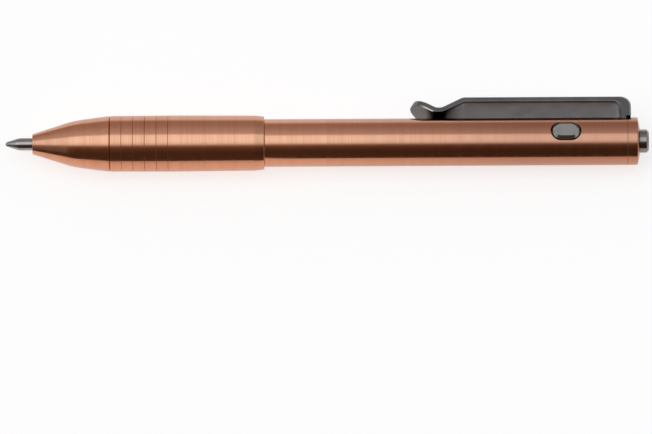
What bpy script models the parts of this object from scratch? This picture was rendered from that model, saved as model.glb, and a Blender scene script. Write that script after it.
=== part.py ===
"""A retractable click pen with two side release buttons, as separate solid pieces.

The pen lies along X with its writing tip at -X and its push button at +X. Stations along
the pen are measured from the writing tip and radii from the pen's own axis, so every
piece is drawn in the pen's coordinates and then moved to its place. The clip points to +Y
and the side buttons to +Z and -Z. Everything is in metres.
"""

import math

import bmesh
import bpy
from mathutils import Matrix, Vector

# Clearances: round a moving or pushed-in piece, and between two faces that meet.
FIT = 0.0001
SEAT = 0.0001
CUT_OVERRUN = 0.002
MERGE_DISTANCE = 0.0000001

# Facets round a shell, round what runs inside it, round a small piece, along one turn of
# the thread and round each end of a side button.
SHELL_FACETS = 40
INNER_FACETS = 32
SMALL_FACETS = 24
THREAD_FACETS = 24
STADIUM_FACETS = 12
ORING_FACETS = 8
SHARP_ANGLE = math.radians(32)

# Grip section, from its nose face to its rear face.
TIP_REACH = 0.0060
NOSE_WALL = 0.0008
NOSE_EDGE = 0.00015
NOSE_CONE_LENGTH = 0.0088
SHOULDER_LENGTH = 0.0076
SHOULDER_RISE = 0.0010
GRIP_BODY_LENGTH = 0.0314
GRIP_RADIUS = 0.00602
GRIP_FRONT_DROP = 0.00007
GRIP_REAR_DROP = 0.00014
GRIP_TAIL_LENGTH = 0.0018
GRIP_TAIL_DROP = 0.00021
GRIP_WIDEST_SHARE = 0.35
GROOVE_COUNT = 6
GROOVE_PITCH = 0.0025
GROOVE_WIDTH = 0.00045
GROOVE_DEPTH = 0.00016
NOSE_BORE_LENGTH = 0.0026

# Threaded joint between grip section and barrel.
THREAD_DEPTH = 0.0005
THREAD_PITCH = 0.0010
THREAD_TURNS = 5
THREAD_ROOT_SHARE = 0.62
THREAD_CREST_SHARE = 0.18
THREAD_RUNOUT_SHARE = 0.25
THREAD_VANISH_SHARE = 0.02
NECK_LENGTH = 0.0015
NECK_WALL = 0.0005
NECK_DEPTH = 0.00025

# Barrel.
BARREL_WALL = 0.00065
SLEEVE_STEP = 0.0003

# Refill, of the common 98 mm format.
REFILL_LENGTH = 0.0980
REFILL_RADIUS = 0.0029
REFILL_WALL = 0.0006
REFILL_FRONT_LENGTH = 0.0160
REFILL_FRONT_RADIUS = 0.00125
REFILL_TAPER_LENGTH = 0.0020
TIP_CONE_LENGTH = 0.0031
TIP_FACE_SETBACK = 0.00035
TIP_FACE_RADIUS = 0.00038
TIP_SWELL = 1.35
TIP_STEPS = 4
BALL_RADIUS = 0.0003
STUB_LENGTH = 0.0045
PLUG_CROWN_LENGTH = 0.0050
PLUG_CROWN_RADIUS = 0.0025
PLUG_STUB_LENGTH = 0.0040
INK_AIR_LENGTH = 0.0084

# Plunger: push button, rod and the cup behind the refill.
TRAVEL = 0.0062
OVER_TRAVEL = 0.0003
ROD_RADIUS = 0.0025
ROD_BRIDGE_LENGTH = 0.0033
CUP_WALL = 0.0007
CUP_SKIRT_LENGTH = 0.0055
CUP_BASE_LENGTH = 0.0085
STUD_RADIUS = 0.0013
STUD_LENGTH = 0.0030
BUTTON_PROUD = 0.0021
BUTTON_CHAMFER = 0.00047

# Mechanism sleeve, with its window between two lands.
FRONT_LAND = 0.0032
REAR_LAND = 0.0041
LAND_WALL = 0.0007

# Catch spring and the pin that holds it in the rod's slot.
CATCH_THICKNESS = 0.00025
CATCH_WIDTH = 0.0018
CATCH_REACH = 0.0090
CATCH_SINK = 0.0004
LUG_LENGTH = 0.0020
PIN_RADIUS = 0.0005

# Side buttons and their leaf springs.
SIDE_BUTTON_LENGTH = 0.0060
SIDE_BUTTON_WIDTH = 0.0040
SIDE_BUTTON_PLAY = 0.0002
SIDE_BUTTON_PROUD = 0.00025
SIDE_BUTTON_EDGE = 0.00025
SIDE_BUTTON_TRAVEL = 0.0009
FLANGE_END_LIP = 0.0007
FLANGE_SIDE_LIP = 0.00045
FLANGE_THICKNESS = 0.0007
FLANGE_PLAY = 0.00005
LEAF_WIDTH = 0.0016
LEAF_THICKNESS = 0.00015
LEAF_REACH = 0.0032

# End cap.
SEAM = 0.0002
PLUG_LENGTH = 0.0049
CAP_RIM_LENGTH = 0.0018
CAP_CONE_LENGTH = 0.0005
CAP_EDGE = 0.0002
CAP_NOTCH_WALL = 0.0004

# Pocket clip.
CLIP_THICKNESS = 0.00115
CLIP_WIDTH = 0.0070
CLIP_EDGE = 0.00022
CLIP_CLEARANCE = 0.00265
CLIP_REACH = 0.0392
CLIP_RAMP_LENGTH = 0.0055
CLIP_FLARE_LENGTH = 0.0058
CLIP_FLARE_RISE = 0.0021
CLIP_LEG_LENGTH = 0.0022
CLIP_INNER_BEND = 0.00205
CLIP_OUTER_BEND = 0.00225
CLIP_TAB_THICKNESS = 0.0012
CLIP_TAB_WIDTH = 0.0038
CLIP_TAB_SETBACK = 0.0003
CLIP_SHOULDER_GAP = 0.0006
CLIP_FOOT_LENGTH = 0.0013
CLIP_FLEX_PLAY = 0.0002
CLIP_CONTACT_ROUNDING = 0.0016
CLIP_RAMP_ROUNDING = 0.0012
CLIP_TAB_INSET = 0.00005
CLIP_CORNER_STEPS = 3
CLIP_BEND_STEPS = 6
CLIP_TIP_STEPS = 5

# Return spring.
RETURN_WIRE_RADIUS = 0.00018
RETURN_INNER_PLAY = 0.00042
RETURN_OUTER_PLAY = 0.00032
RETURN_TURNS = 8
RETURN_DEAD_TURNS = 2
COIL_FACETS = 12
WIRE_FACETS = 6

# Radii, from the refill and the plunger's rod outwards.
GRIP_BORE_RADIUS = REFILL_RADIUS + FIT * 2
REFILL_BORE_RADIUS = REFILL_RADIUS - REFILL_WALL
NECK_RADIUS = GRIP_BORE_RADIUS + NECK_WALL
THREAD_CORE_RADIUS = NECK_RADIUS + NECK_DEPTH
THREAD_RADIUS = THREAD_CORE_RADIUS + THREAD_DEPTH
COUNTERBORE_RADIUS = THREAD_RADIUS + FIT
CUP_RADIUS = REFILL_RADIUS + FIT + CUP_WALL
BARREL_BORE_RADIUS = CUP_RADIUS + FIT
SLEEVE_BORE_RADIUS = ROD_RADIUS + FIT
FLANGE_UNDER_RADIUS = ROD_RADIUS + SIDE_BUTTON_TRAVEL + FIT / 2
FLANGE_TOP_RADIUS = FLANGE_UNDER_RADIUS + FLANGE_THICKNESS
SLEEVE_SEAT_RADIUS = max(FLANGE_TOP_RADIUS + FLANGE_PLAY, BARREL_BORE_RADIUS + SLEEVE_STEP)
SLEEVE_RADIUS = SLEEVE_SEAT_RADIUS - FIT
BARREL_RADIUS = max(COUNTERBORE_RADIUS, SLEEVE_SEAT_RADIUS) + BARREL_WALL
SIDE_BUTTON_HEIGHT = BARREL_RADIUS + SIDE_BUTTON_PROUD
NOSE_BORE_RADIUS = REFILL_FRONT_RADIUS + FIT
NOSE_FACE_RADIUS = NOSE_BORE_RADIUS + NOSE_WALL
RETURN_COIL_RADIUS = REFILL_FRONT_RADIUS + RETURN_INNER_PLAY + RETURN_WIRE_RADIUS
SPRING_CHAMBER_RADIUS = RETURN_COIL_RADIUS + RETURN_WIRE_RADIUS + RETURN_OUTER_PLAY
GRIP_FRONT_RADIUS = GRIP_RADIUS - GRIP_FRONT_DROP
GRIP_REAR_RADIUS = GRIP_RADIUS - GRIP_REAR_DROP
GRIP_TAIL_RADIUS = GRIP_REAR_RADIUS - GRIP_TAIL_DROP
NOSE_BREAK_RADIUS = GRIP_FRONT_RADIUS - SHOULDER_RISE

# Stations, from the writing tip backwards.
NOSE_FACE = TIP_REACH
NOSE_BREAK = NOSE_FACE + NOSE_CONE_LENGTH
GRIP_FRONT = NOSE_BREAK + SHOULDER_LENGTH
GRIP_TAIL = GRIP_FRONT + GRIP_BODY_LENGTH
GRIP_REAR = GRIP_TAIL + GRIP_TAIL_LENGTH
BARREL_FRONT = GRIP_REAR + SEAT
SPRING_SEAT = NOSE_FACE + NOSE_BORE_LENGTH
CHAMBER_REAR = REFILL_FRONT_LENGTH - OVER_TRAVEL - SEAT
NECK_REAR = GRIP_REAR + NECK_LENGTH
THREAD_FRONT = NECK_REAR + THREAD_PITCH
THREAD_REAR = THREAD_FRONT + THREAD_PITCH * THREAD_TURNS
TENON_REAR = THREAD_REAR + THREAD_PITCH * 2
COUNTERBORE_REAR = TENON_REAR + SEAT
PLUG_CROWN_FRONT = REFILL_LENGTH - PLUG_CROWN_LENGTH
CUP_FLOOR = REFILL_LENGTH + SEAT
CUP_FRONT = REFILL_LENGTH - CUP_SKIRT_LENGTH
CUP_REAR = CUP_FLOOR + CUP_BASE_LENGTH
SLEEVE_FRONT = CUP_REAR + TRAVEL + SEAT
WINDOW_FRONT = SLEEVE_FRONT + FRONT_LAND
FLANGE_HALF_LENGTH = SIDE_BUTTON_LENGTH / 2 + FLANGE_END_LIP
FLANGE_HALF_WIDTH = SIDE_BUTTON_WIDTH / 2 + FLANGE_SIDE_LIP
WINDOW_HALF_LENGTH = FLANGE_HALF_LENGTH + SIDE_BUTTON_PLAY * 2
WINDOW_HALF_WIDTH = FLANGE_HALF_WIDTH + SIDE_BUTTON_PLAY
SIDE_BUTTON_STATION = WINDOW_FRONT + WINDOW_HALF_LENGTH
WINDOW_REAR = SIDE_BUTTON_STATION + WINDOW_HALF_LENGTH
SLEEVE_REAR = WINDOW_REAR + REAR_LAND
LUG_REAR = WINDOW_REAR - SEAT
LUG_FRONT = LUG_REAR - LUG_LENGTH
CATCH_FRONT = LUG_FRONT - CATCH_REACH
PIN_STATION = CATCH_FRONT + CATCH_THICKNESS + SEAT + PIN_RADIUS
ROD_SLOT_REAR = LUG_REAR + CATCH_THICKNESS
BUTTON_FRONT = ROD_SLOT_REAR + ROD_BRIDGE_LENGTH
PLUG_FRONT = SLEEVE_REAR + SEAT
BARREL_REAR = PLUG_FRONT + PLUG_LENGTH
CAP_FRONT = BARREL_REAR + SEAM
CAP_SHOULDER = CAP_FRONT + CAP_RIM_LENGTH
CAP_REAR = CAP_SHOULDER + CAP_CONE_LENGTH
PEN_REAR = CAP_REAR + BUTTON_PROUD
TAB_FRONT = BARREL_REAR - CLIP_TAB_SETBACK - CLIP_TAB_THICKNESS
TAB_REAR = TAB_FRONT + CLIP_TAB_THICKNESS
CLIP_REAR = TAB_FRONT + CLIP_LEG_LENGTH
CLIP_CONTACT = TAB_FRONT - CLIP_REACH

# Heights of the clip above the pen's axis.
CLIP_UNDERSIDE = BARREL_RADIUS + CLIP_CLEARANCE
CLIP_HEIGHT = CLIP_UNDERSIDE + CLIP_THICKNESS
NOTCH_FLOOR = ROD_RADIUS + FIT + CAP_NOTCH_WALL
FOOT_BOTTOM = NOTCH_FLOOR + FIT
FOOT_TOP = math.sqrt(SLEEVE_SEAT_RADIUS ** 2 - (CLIP_TAB_WIDTH / 2) ** 2) - CLIP_FLEX_PLAY

# The frame: the middle of the whole pen's box, on the surface that it lies on.
PEN_ORIGIN = Vector((-PEN_REAR / 2, (GRIP_RADIUS - CLIP_HEIGHT) / 2, GRIP_RADIUS))


def clear_scene():
    """Remove every object, mesh and material that the file holds."""
    for store in (bpy.data.objects, bpy.data.meshes, bpy.data.materials):
        for item in list(store):
            store.remove(item)


def linear(hex_colour):
    """Turn an sRGB hex colour into Blender's linear colour."""
    channels = []
    for start in (0, 2, 4):
        value = int(hex_colour[start:start + 2], 16) / 255
        channels.append(value / 12.92 if value <= 0.04045 else ((value + 0.055) / 1.055) ** 2.4)
    return (*channels, 1)


def material(name, hex_colour, metallic, roughness):
    """Make one Principled material."""
    made = bpy.data.materials.new(name)
    made.use_nodes = True
    shader = made.node_tree.nodes["Principled BSDF"]
    shader.inputs["Base Color"].default_value = linear(hex_colour)
    shader.inputs["Metallic"].default_value = metallic
    shader.inputs["Roughness"].default_value = roughness
    return made


def empty(name, place, parent=None):
    """Make an empty at a place given in pen coordinates."""
    made = bpy.data.objects.new(name, None)
    bpy.context.collection.objects.link(made)
    made.parent = parent
    made.location = place
    return made


def finish(name, mesh, surface, group, origin):
    """Turn a mesh drawn in pen coordinates into an object whose origin is at origin."""
    mesh.transform(Matrix.Translation(-origin))
    mesh.shade_smooth()
    mesh.set_sharp_from_angle(angle=SHARP_ANGLE)
    if surface:
        mesh.materials.append(surface)
    made = bpy.data.objects.new(name, mesh)
    bpy.context.collection.objects.link(made)
    made.parent = group
    made.location = origin - group.location if group.parent else origin
    return made


def mesh_from(name, bm):
    """Close a bmesh into a mesh with its faces pointing out."""
    bmesh.ops.recalc_face_normals(bm, faces=bm.faces)
    mesh = bpy.data.meshes.new(name)
    bm.to_mesh(mesh)
    bm.free()
    return mesh


def lathe(name, profile, facets):
    """Spin a profile of (station, radius) points about the pen's axis.

    A profile that starts and ends on the axis makes a solid piece. Any other is a closed
    loop, and makes a ring or a tube.
    """
    bm = bmesh.new()
    points = [bm.verts.new((station, 0, radius)) for station, radius in profile]
    closed = profile[0][1] > 0
    edges = [bm.edges.new(pair) for pair in zip(points, points[1:])]
    if closed:
        edges.append(bm.edges.new((points[-1], points[0])))
    bmesh.ops.spin(
        bm,
        geom=points + edges,
        cent=(0, 0, 0),
        axis=(1, 0, 0),
        steps=facets,
        angle=math.tau,
        use_merge=True,
    )
    bmesh.ops.remove_doubles(bm, verts=bm.verts, dist=MERGE_DISTANCE)
    return mesh_from(name, bm)


def loft(name, rings):
    """Join equal rings of points into one closed skin with a face on each end."""
    bm = bmesh.new()
    rows = [[bm.verts.new(point) for point in ring] for ring in rings]
    count = len(rows[0])
    for near, far in zip(rows, rows[1:]):
        for i in range(count):
            following = (i + 1) % count
            bm.faces.new((near[i], near[following], far[following], far[i]))
    bm.faces.new(rows[0])
    bm.faces.new(rows[-1])
    return mesh_from(name, bm)


def slab(name, outline, low, high, plane):
    """Extrude an outline between two depths.

    In the plane "XY" the outline is (station, y) and the depth runs along Z. In "XZ" it is
    (station, z) and the depth runs along Y.
    """
    if plane == "XY":
        ends = [[(x, y, depth) for x, y in outline] for depth in (low, high)]
    else:
        ends = [[(x, depth, z) for x, z in outline] for depth in (low, high)]
    return loft(name, ends)


def box(name, x_range, y_range, z_range):
    """Make a box between pairs of coordinates."""
    outline = [(x_range[0], y_range[0]), (x_range[1], y_range[0])]
    outline += [(x_range[1], y_range[1]), (x_range[0], y_range[1])]
    return slab(name, outline, *z_range, "XY")


def stadium(half_length, half_width, height):
    """Give one stadium-shaped ring, centred on the side buttons' axis, at a height."""
    ring = []
    straight = half_length - half_width
    for end, turn in ((1, -math.pi / 2), (-1, math.pi / 2)):
        for i in range(STADIUM_FACETS + 1):
            angle = turn + math.pi * i / STADIUM_FACETS
            x = end * straight + half_width * math.cos(angle)
            ring.append((SIDE_BUTTON_STATION + x, half_width * math.sin(angle), height))
    return ring


def boolean(target, operation, mesh):
    """Add a Boolean modifier with a cutter that isn't part of the pen."""
    tool = bpy.data.objects.new(f"{target.name}_{operation.lower()}", mesh)
    bpy.context.collection.objects.link(tool)
    tool.hide_render = True
    tool.display_type = "WIRE"
    tool.parent = target.parent
    tool.location = target.location
    tool.data.transform(Matrix.Translation(-pen_place(target)))
    modifier = target.modifiers.new(operation.title(), "BOOLEAN")
    modifier.operation = operation
    modifier.solver = "EXACT"
    modifier.object = tool


def pen_place(made):
    """Give an object's origin in pen coordinates."""
    group = made.parent
    return made.location + group.location if group.parent else made.location.copy()


def helix_ridge(name, root_radius, crest_radius, start):
    """Wind a trapezoid ridge round the pen's axis, right-handed, sinking away at both ends.

    The ridge stands from root_radius towards crest_radius. Its base lies one FIT inside
    the wall that carries it, and over the run-out at each end the crest sinks to the base.
    """
    outward = 1 if crest_radius > root_radius else -1
    base = root_radius - outward * FIT
    steps = THREAD_TURNS * THREAD_FACETS
    runout = THREAD_RUNOUT_SHARE * THREAD_FACETS
    rings = []
    for step in range(steps + 1):
        angle = math.tau * step / THREAD_FACETS
        centre = start + THREAD_PITCH * step / THREAD_FACETS
        rise = min(1, step / runout, (steps - step) / runout)
        crest = base + (crest_radius - base) * max(rise, THREAD_VANISH_SHARE)
        half_root = THREAD_PITCH * THREAD_ROOT_SHARE / 2
        half_crest = THREAD_PITCH * THREAD_CREST_SHARE / 2
        section = [(-half_root, base), (-half_crest, crest), (half_crest, crest), (half_root, base)]
        rings.append(
            [
                (centre + along, radius * math.cos(angle), radius * math.sin(angle))
                for along, radius in section
            ]
        )
    return loft(name, rings)


def coil(name, start, end):
    """Wind the return spring between two stations, with closed turns at both ends."""
    wire = RETURN_WIRE_RADIUS
    dead_pitch = wire * 2 + SEAT / 2
    live_turns = RETURN_TURNS - RETURN_DEAD_TURNS
    free = end - start - wire * 2 - dead_pitch * RETURN_DEAD_TURNS
    rings = []
    for step in range(RETURN_TURNS * COIL_FACETS + 1):
        turn = step / COIL_FACETS
        dead = RETURN_DEAD_TURNS / 2
        live = min(max(turn - dead, 0), live_turns)
        station = start + wire + dead_pitch * (turn - live) + free * live / live_turns
        angle = math.tau * turn
        ring = []
        for i in range(WIRE_FACETS):
            around = math.tau * i / WIRE_FACETS
            radius = RETURN_COIL_RADIUS + wire * math.cos(around)
            along = station + wire * math.sin(around)
            ring.append((along, radius * math.cos(angle), radius * math.sin(angle)))
        rings.append(ring)
    return loft(name, rings)


def rounded_corner(before, corner, after, radius):
    """Replace a corner between two straight runs by an arc."""
    corner, before, after = Vector(corner), Vector(before), Vector(after)
    into, out = (corner - before).normalized(), (after - corner).normalized()
    turn = into.angle(out)
    reach = radius * math.tan(turn / 2)
    bisector = (out - into).normalized()
    centre = corner + bisector * (radius / math.cos(turn / 2))
    first = corner - into * reach - centre
    last = corner + out * reach - centre
    points = []
    for i in range(CLIP_CORNER_STEPS + 1):
        share = i / CLIP_CORNER_STEPS
        blend = first * math.sin(turn * (1 - share)) + last * math.sin(turn * share)
        points.append(tuple(centre + blend / math.sin(turn)))
    return points


def clip_rings():
    """Give the clip's sections, from the flared tip to the bottom of its leg.

    Each section is a rectangle with bevelled corners between a point on the underside and
    a point on the outer face. The tip is a half circle seen from above.
    """
    half = CLIP_THICKNESS / 2
    middle = CLIP_HEIGHT - half
    contact = BARREL_RADIUS + SEAT + half
    tip = (CLIP_CONTACT - CLIP_FLARE_LENGTH, contact + CLIP_FLARE_RISE)
    bottom = (CLIP_CONTACT, contact)
    ramp = (CLIP_CONTACT + CLIP_RAMP_LENGTH, middle)
    straight_end = (TAB_FRONT - CLIP_INNER_BEND, middle)
    centres = [tip]
    centres += rounded_corner(tip, bottom, ramp, CLIP_CONTACT_ROUNDING)
    centres += rounded_corner(bottom, ramp, straight_end, CLIP_RAMP_ROUNDING)
    centres = split_start(centres, CLIP_WIDTH / 2)

    sections = []
    run = 0
    for i, centre in enumerate(centres):
        before = Vector(centres[max(i - 1, 0)])
        after = Vector(centres[min(i + 1, len(centres) - 1)])
        if i == len(centres) - 1:
            after = Vector(straight_end)
        direction = (after - before).normalized()
        normal = Vector((-direction.y, direction.x))
        run += (Vector(centre) - before).length
        half_width = tip_half_width(run)
        inner = Vector(centre) - normal * half
        outer = Vector(centre) + normal * half
        sections.append((inner, outer, half_width))

    bend_inner = Vector((TAB_FRONT - CLIP_INNER_BEND, CLIP_UNDERSIDE - CLIP_INNER_BEND))
    bend_outer = Vector((CLIP_REAR - CLIP_OUTER_BEND, CLIP_HEIGHT - CLIP_OUTER_BEND))
    for i in range(CLIP_BEND_STEPS + 1):
        angle = math.pi / 2 * (1 - i / CLIP_BEND_STEPS)
        direction = Vector((math.cos(angle), math.sin(angle)))
        inner = bend_inner + direction * CLIP_INNER_BEND
        outer = bend_outer + direction * CLIP_OUTER_BEND
        sections.append((inner, outer, CLIP_WIDTH / 2))
    leg_bottom = math.sqrt(BARREL_RADIUS ** 2 - (CLIP_WIDTH / 2) ** 2) - FIT
    leg_end = (Vector((TAB_FRONT, leg_bottom)), Vector((CLIP_REAR, leg_bottom)), CLIP_WIDTH / 2)
    sections.append(leg_end)
    return [clip_section(*section) for section in sections]


def split_start(centres, length):
    """Add points along the first straight run, closer together towards its start."""
    start, end = Vector(centres[0]), Vector(centres[1])
    direction = (end - start).normalized()
    added = []
    for i in range(1, CLIP_TIP_STEPS):
        along = length * (1 - math.cos(math.pi / 2 * i / CLIP_TIP_STEPS))
        if along < (end - start).length:
            added.append(tuple(start + direction * along))
    return [centres[0], *added, *centres[1:]]


def tip_half_width(run):
    """Give the clip's half width at a distance from its rounded tip."""
    radius = CLIP_WIDTH / 2
    blunt = radius - CLIP_EDGE
    if run >= radius:
        return radius
    share = min(1, (radius - run) / radius)
    return max(radius * math.sqrt(1 - (share * blunt / radius) ** 2), CLIP_EDGE * 2)


def clip_section(inner, outer, half_width):
    """Give one bevelled rectangle between an inner and an outer point."""
    rise = (outer - inner).normalized() * CLIP_EDGE
    flat = half_width - CLIP_EDGE
    ring = []
    for point, step in ((inner, rise), (outer, -rise)):
        low, high = point, point + step
        pair = [(low, flat), (high, half_width)] if point is inner else [(high, half_width), (low, flat)]
        ring += [(place.x, place.y, width) for place, width in pair]
    return ring + [(x, y, -z) for x, y, z in reversed(ring)]


def grip_profile():
    """Give the grip section's outline, out along the nose and back through the bore."""
    outline = [
        (NOSE_FACE, NOSE_FACE_RADIUS - NOSE_EDGE),
        (NOSE_FACE + NOSE_EDGE, NOSE_FACE_RADIUS),
        (NOSE_BREAK, NOSE_BREAK_RADIUS),
    ]
    widest = GRIP_FRONT + GRIP_BODY_LENGTH * GRIP_WIDEST_SHARE
    for i in range(GROOVE_COUNT):
        groove = GRIP_FRONT + GROOVE_PITCH * i
        radius = GRIP_FRONT_RADIUS + GRIP_FRONT_DROP * i / GROOVE_COUNT
        outline += [
            (groove - GROOVE_WIDTH / 2, radius),
            (groove, radius - GROOVE_DEPTH),
            (groove + GROOVE_WIDTH / 2, radius),
        ]
    last_groove = GRIP_FRONT + GROOVE_PITCH * (GROOVE_COUNT - 1) + GROOVE_WIDTH
    outline += [
        (max(widest, last_groove), GRIP_RADIUS),
        (GRIP_TAIL, GRIP_REAR_RADIUS),
        (GRIP_REAR, GRIP_TAIL_RADIUS),
        (GRIP_REAR, NECK_RADIUS),
        (NECK_REAR, NECK_RADIUS),
        (NECK_REAR + NECK_DEPTH, THREAD_CORE_RADIUS),
        (TENON_REAR, THREAD_CORE_RADIUS),
        (TENON_REAR, GRIP_BORE_RADIUS),
        (CHAMBER_REAR, GRIP_BORE_RADIUS),
        (CHAMBER_REAR, SPRING_CHAMBER_RADIUS),
        (SPRING_SEAT, SPRING_CHAMBER_RADIUS),
        (SPRING_SEAT, NOSE_BORE_RADIUS),
        (NOSE_FACE, NOSE_BORE_RADIUS),
    ]
    return outline


def tube_profile(front, rear, inner, outer):
    """Give the outline of a plain tube."""
    return [(front, inner), (front, outer), (rear, outer), (rear, inner)]


def rod_profile(front, rear, radius):
    """Give the outline of a plain solid rod."""
    return [(front, 0), (front, radius), (rear, radius), (rear, 0)]


def refill_tip_profile():
    """Give the outline of the refill's front: the point's cone, the tube and its stub."""
    socket_radius = (BALL_RADIUS + TIP_FACE_RADIUS) / 2
    socket_floor = BALL_RADIUS * 2 + FIT / 2
    outline = [
        (socket_floor, 0),
        (socket_floor, socket_radius),
        (TIP_FACE_SETBACK, socket_radius),
        (TIP_FACE_SETBACK, TIP_FACE_RADIUS),
    ]
    for i in range(1, TIP_STEPS + 1):
        share = i / TIP_STEPS
        swell = 1 - (1 - share) ** TIP_SWELL
        radius = TIP_FACE_RADIUS + (REFILL_FRONT_RADIUS - TIP_FACE_RADIUS) * swell
        outline.append((TIP_FACE_SETBACK + (TIP_CONE_LENGTH - TIP_FACE_SETBACK) * share, radius))
    stub_radius = REFILL_BORE_RADIUS - FIT
    stub_rear = REFILL_FRONT_LENGTH + STUB_LENGTH
    outline += [
        (REFILL_FRONT_LENGTH, REFILL_FRONT_RADIUS),
        (REFILL_FRONT_LENGTH, stub_radius),
        (stub_rear, stub_radius),
        (stub_rear, 0),
    ]
    return outline


def refill_tube_profile():
    """Give the outline of the ink tube, tapered at its front."""
    front = REFILL_FRONT_LENGTH + SEAT
    rear = PLUG_CROWN_FRONT - SEAT
    return [
        (front, REFILL_BORE_RADIUS),
        (front, REFILL_RADIUS - REFILL_WALL / 2),
        (front + REFILL_TAPER_LENGTH, REFILL_RADIUS),
        (rear, REFILL_RADIUS),
        (rear, REFILL_BORE_RADIUS),
    ]


def make_grip(group, surface, rubber):
    """Make the grip section with its threaded tenon, and its seal."""
    mesh = lathe("grip_section", grip_profile(), SHELL_FACETS)
    grip = finish("grip_section", mesh, surface, group, Vector((GRIP_FRONT, 0, 0)))
    ridge = helix_ridge("grip_thread", THREAD_CORE_RADIUS, THREAD_RADIUS, THREAD_FRONT)
    boolean(grip, "UNION", ridge)

    middle = (GRIP_REAR + NECK_REAR) / 2
    ring_radius = (NECK_RADIUS + COUNTERBORE_RADIUS) / 2
    cord_radius = (COUNTERBORE_RADIUS - NECK_RADIUS) / 2 - SEAT * 3 / 4
    section = []
    for i in range(ORING_FACETS):
        angle = math.tau * i / ORING_FACETS
        along = middle + cord_radius * math.cos(angle)
        section.append((along, ring_radius + cord_radius * math.sin(angle)))
    mesh = lathe("grip_oring", section, INNER_FACETS)
    finish("grip_oring", mesh, rubber, group, Vector((middle, 0, 0)))


def make_barrel(group, surface):
    """Make the barrel with its counterbores, thread, side windows and clip slot."""
    profile = [
        (BARREL_FRONT, COUNTERBORE_RADIUS),
        (BARREL_FRONT, BARREL_RADIUS),
        (BARREL_REAR, BARREL_RADIUS),
        (BARREL_REAR, SLEEVE_SEAT_RADIUS),
        (SLEEVE_FRONT - SEAT, SLEEVE_SEAT_RADIUS),
        (SLEEVE_FRONT - SEAT, BARREL_BORE_RADIUS),
        (COUNTERBORE_REAR, BARREL_BORE_RADIUS),
        (COUNTERBORE_REAR, COUNTERBORE_RADIUS),
    ]
    mesh = lathe("barrel", profile, SHELL_FACETS)
    barrel = finish("barrel", mesh, surface, group, Vector((BARREL_FRONT, 0, 0)))
    half_length = SIDE_BUTTON_LENGTH / 2 + SIDE_BUTTON_PLAY
    half_width = SIDE_BUTTON_WIDTH / 2 + SIDE_BUTTON_PLAY
    heights = (-BARREL_RADIUS - CUT_OVERRUN, BARREL_RADIUS + CUT_OVERRUN)
    window = loft("side_windows", [stadium(half_length, half_width, height) for height in heights])
    boolean(barrel, "DIFFERENCE", window)
    slot_half = CLIP_TAB_WIDTH / 2 + FIT
    slot = box(
        "clip_slot",
        (TAB_FRONT - FIT, BARREL_REAR + CUT_OVERRUN),
        (BARREL_BORE_RADIUS / 2, BARREL_RADIUS + CUT_OVERRUN),
        (-slot_half, slot_half),
    )
    boolean(barrel, "DIFFERENCE", slot)
    start = THREAD_FRONT + THREAD_PITCH / 2
    ridge = helix_ridge("barrel_thread", COUNTERBORE_RADIUS, THREAD_CORE_RADIUS + FIT, start)
    boolean(barrel, "UNION", ridge)


def make_end_cap(group, surface):
    """Make the end cap: a plug in the barrel, a rim and a shallow cone round the button."""
    bore = ROD_RADIUS + FIT
    profile = [
        (PLUG_FRONT, bore),
        (PLUG_FRONT, SLEEVE_RADIUS),
        (CAP_FRONT, SLEEVE_RADIUS),
        (CAP_FRONT, BARREL_RADIUS - CAP_EDGE / 2),
        (CAP_FRONT + CAP_EDGE / 2, BARREL_RADIUS),
        (CAP_SHOULDER, BARREL_RADIUS),
        (CAP_SHOULDER + CAP_EDGE, BARREL_RADIUS - CAP_EDGE),
        (CAP_REAR, bore + CAP_EDGE),
        (CAP_REAR - CAP_EDGE / 2, bore),
    ]
    mesh = lathe("end_cap", profile, SHELL_FACETS)
    cap = finish("end_cap", mesh, surface, group, Vector((CAP_FRONT, 0, 0)))
    half = CLIP_TAB_WIDTH / 2 + FIT
    notch = box(
        "clip_notch",
        (TAB_FRONT - CLIP_FOOT_LENGTH - CLIP_FLEX_PLAY, TAB_REAR + CLIP_FLEX_PLAY),
        (NOTCH_FLOOR, BARREL_RADIUS + CUT_OVERRUN),
        (-half, half),
    )
    boolean(cap, "DIFFERENCE", notch)


def make_sleeve(group, surface):
    """Make the mechanism sleeve with its window and the slots for the leaf springs."""
    profile = tube_profile(SLEEVE_FRONT, SLEEVE_REAR, SLEEVE_BORE_RADIUS, SLEEVE_RADIUS)
    mesh = lathe("mechanism_sleeve", profile, SHELL_FACETS)
    sleeve = finish("mechanism_sleeve", mesh, surface, group, Vector((SLEEVE_FRONT, 0, 0)))
    reach = SLEEVE_RADIUS + CUT_OVERRUN
    sides = (-WINDOW_HALF_WIDTH, WINDOW_HALF_WIDTH)
    window = box("sleeve_window", (WINDOW_FRONT, WINDOW_REAR), sides, (-reach, reach))
    boolean(sleeve, "DIFFERENCE", window)
    for side in (1, -1):
        low, high = leaf_heights(FIT)
        slot = box(
            "leaf_slot",
            (SLEEVE_FRONT + LAND_WALL - SEAT, WINDOW_FRONT + FLANGE_END_LIP),
            (-LEAF_WIDTH / 2 - FIT, LEAF_WIDTH / 2 + FIT),
            sorted((side * low, side * high)),
        )
        boolean(sleeve, "DIFFERENCE", slot)


def leaf_heights(margin):
    """Give the leaf spring's lower and upper height, widened by a margin."""
    edge = math.sqrt(FLANGE_UNDER_RADIUS ** 2 - (LEAF_WIDTH / 2) ** 2)
    high = edge - SEAT
    return high - LEAF_THICKNESS - margin / 2, high + margin / 2


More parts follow.
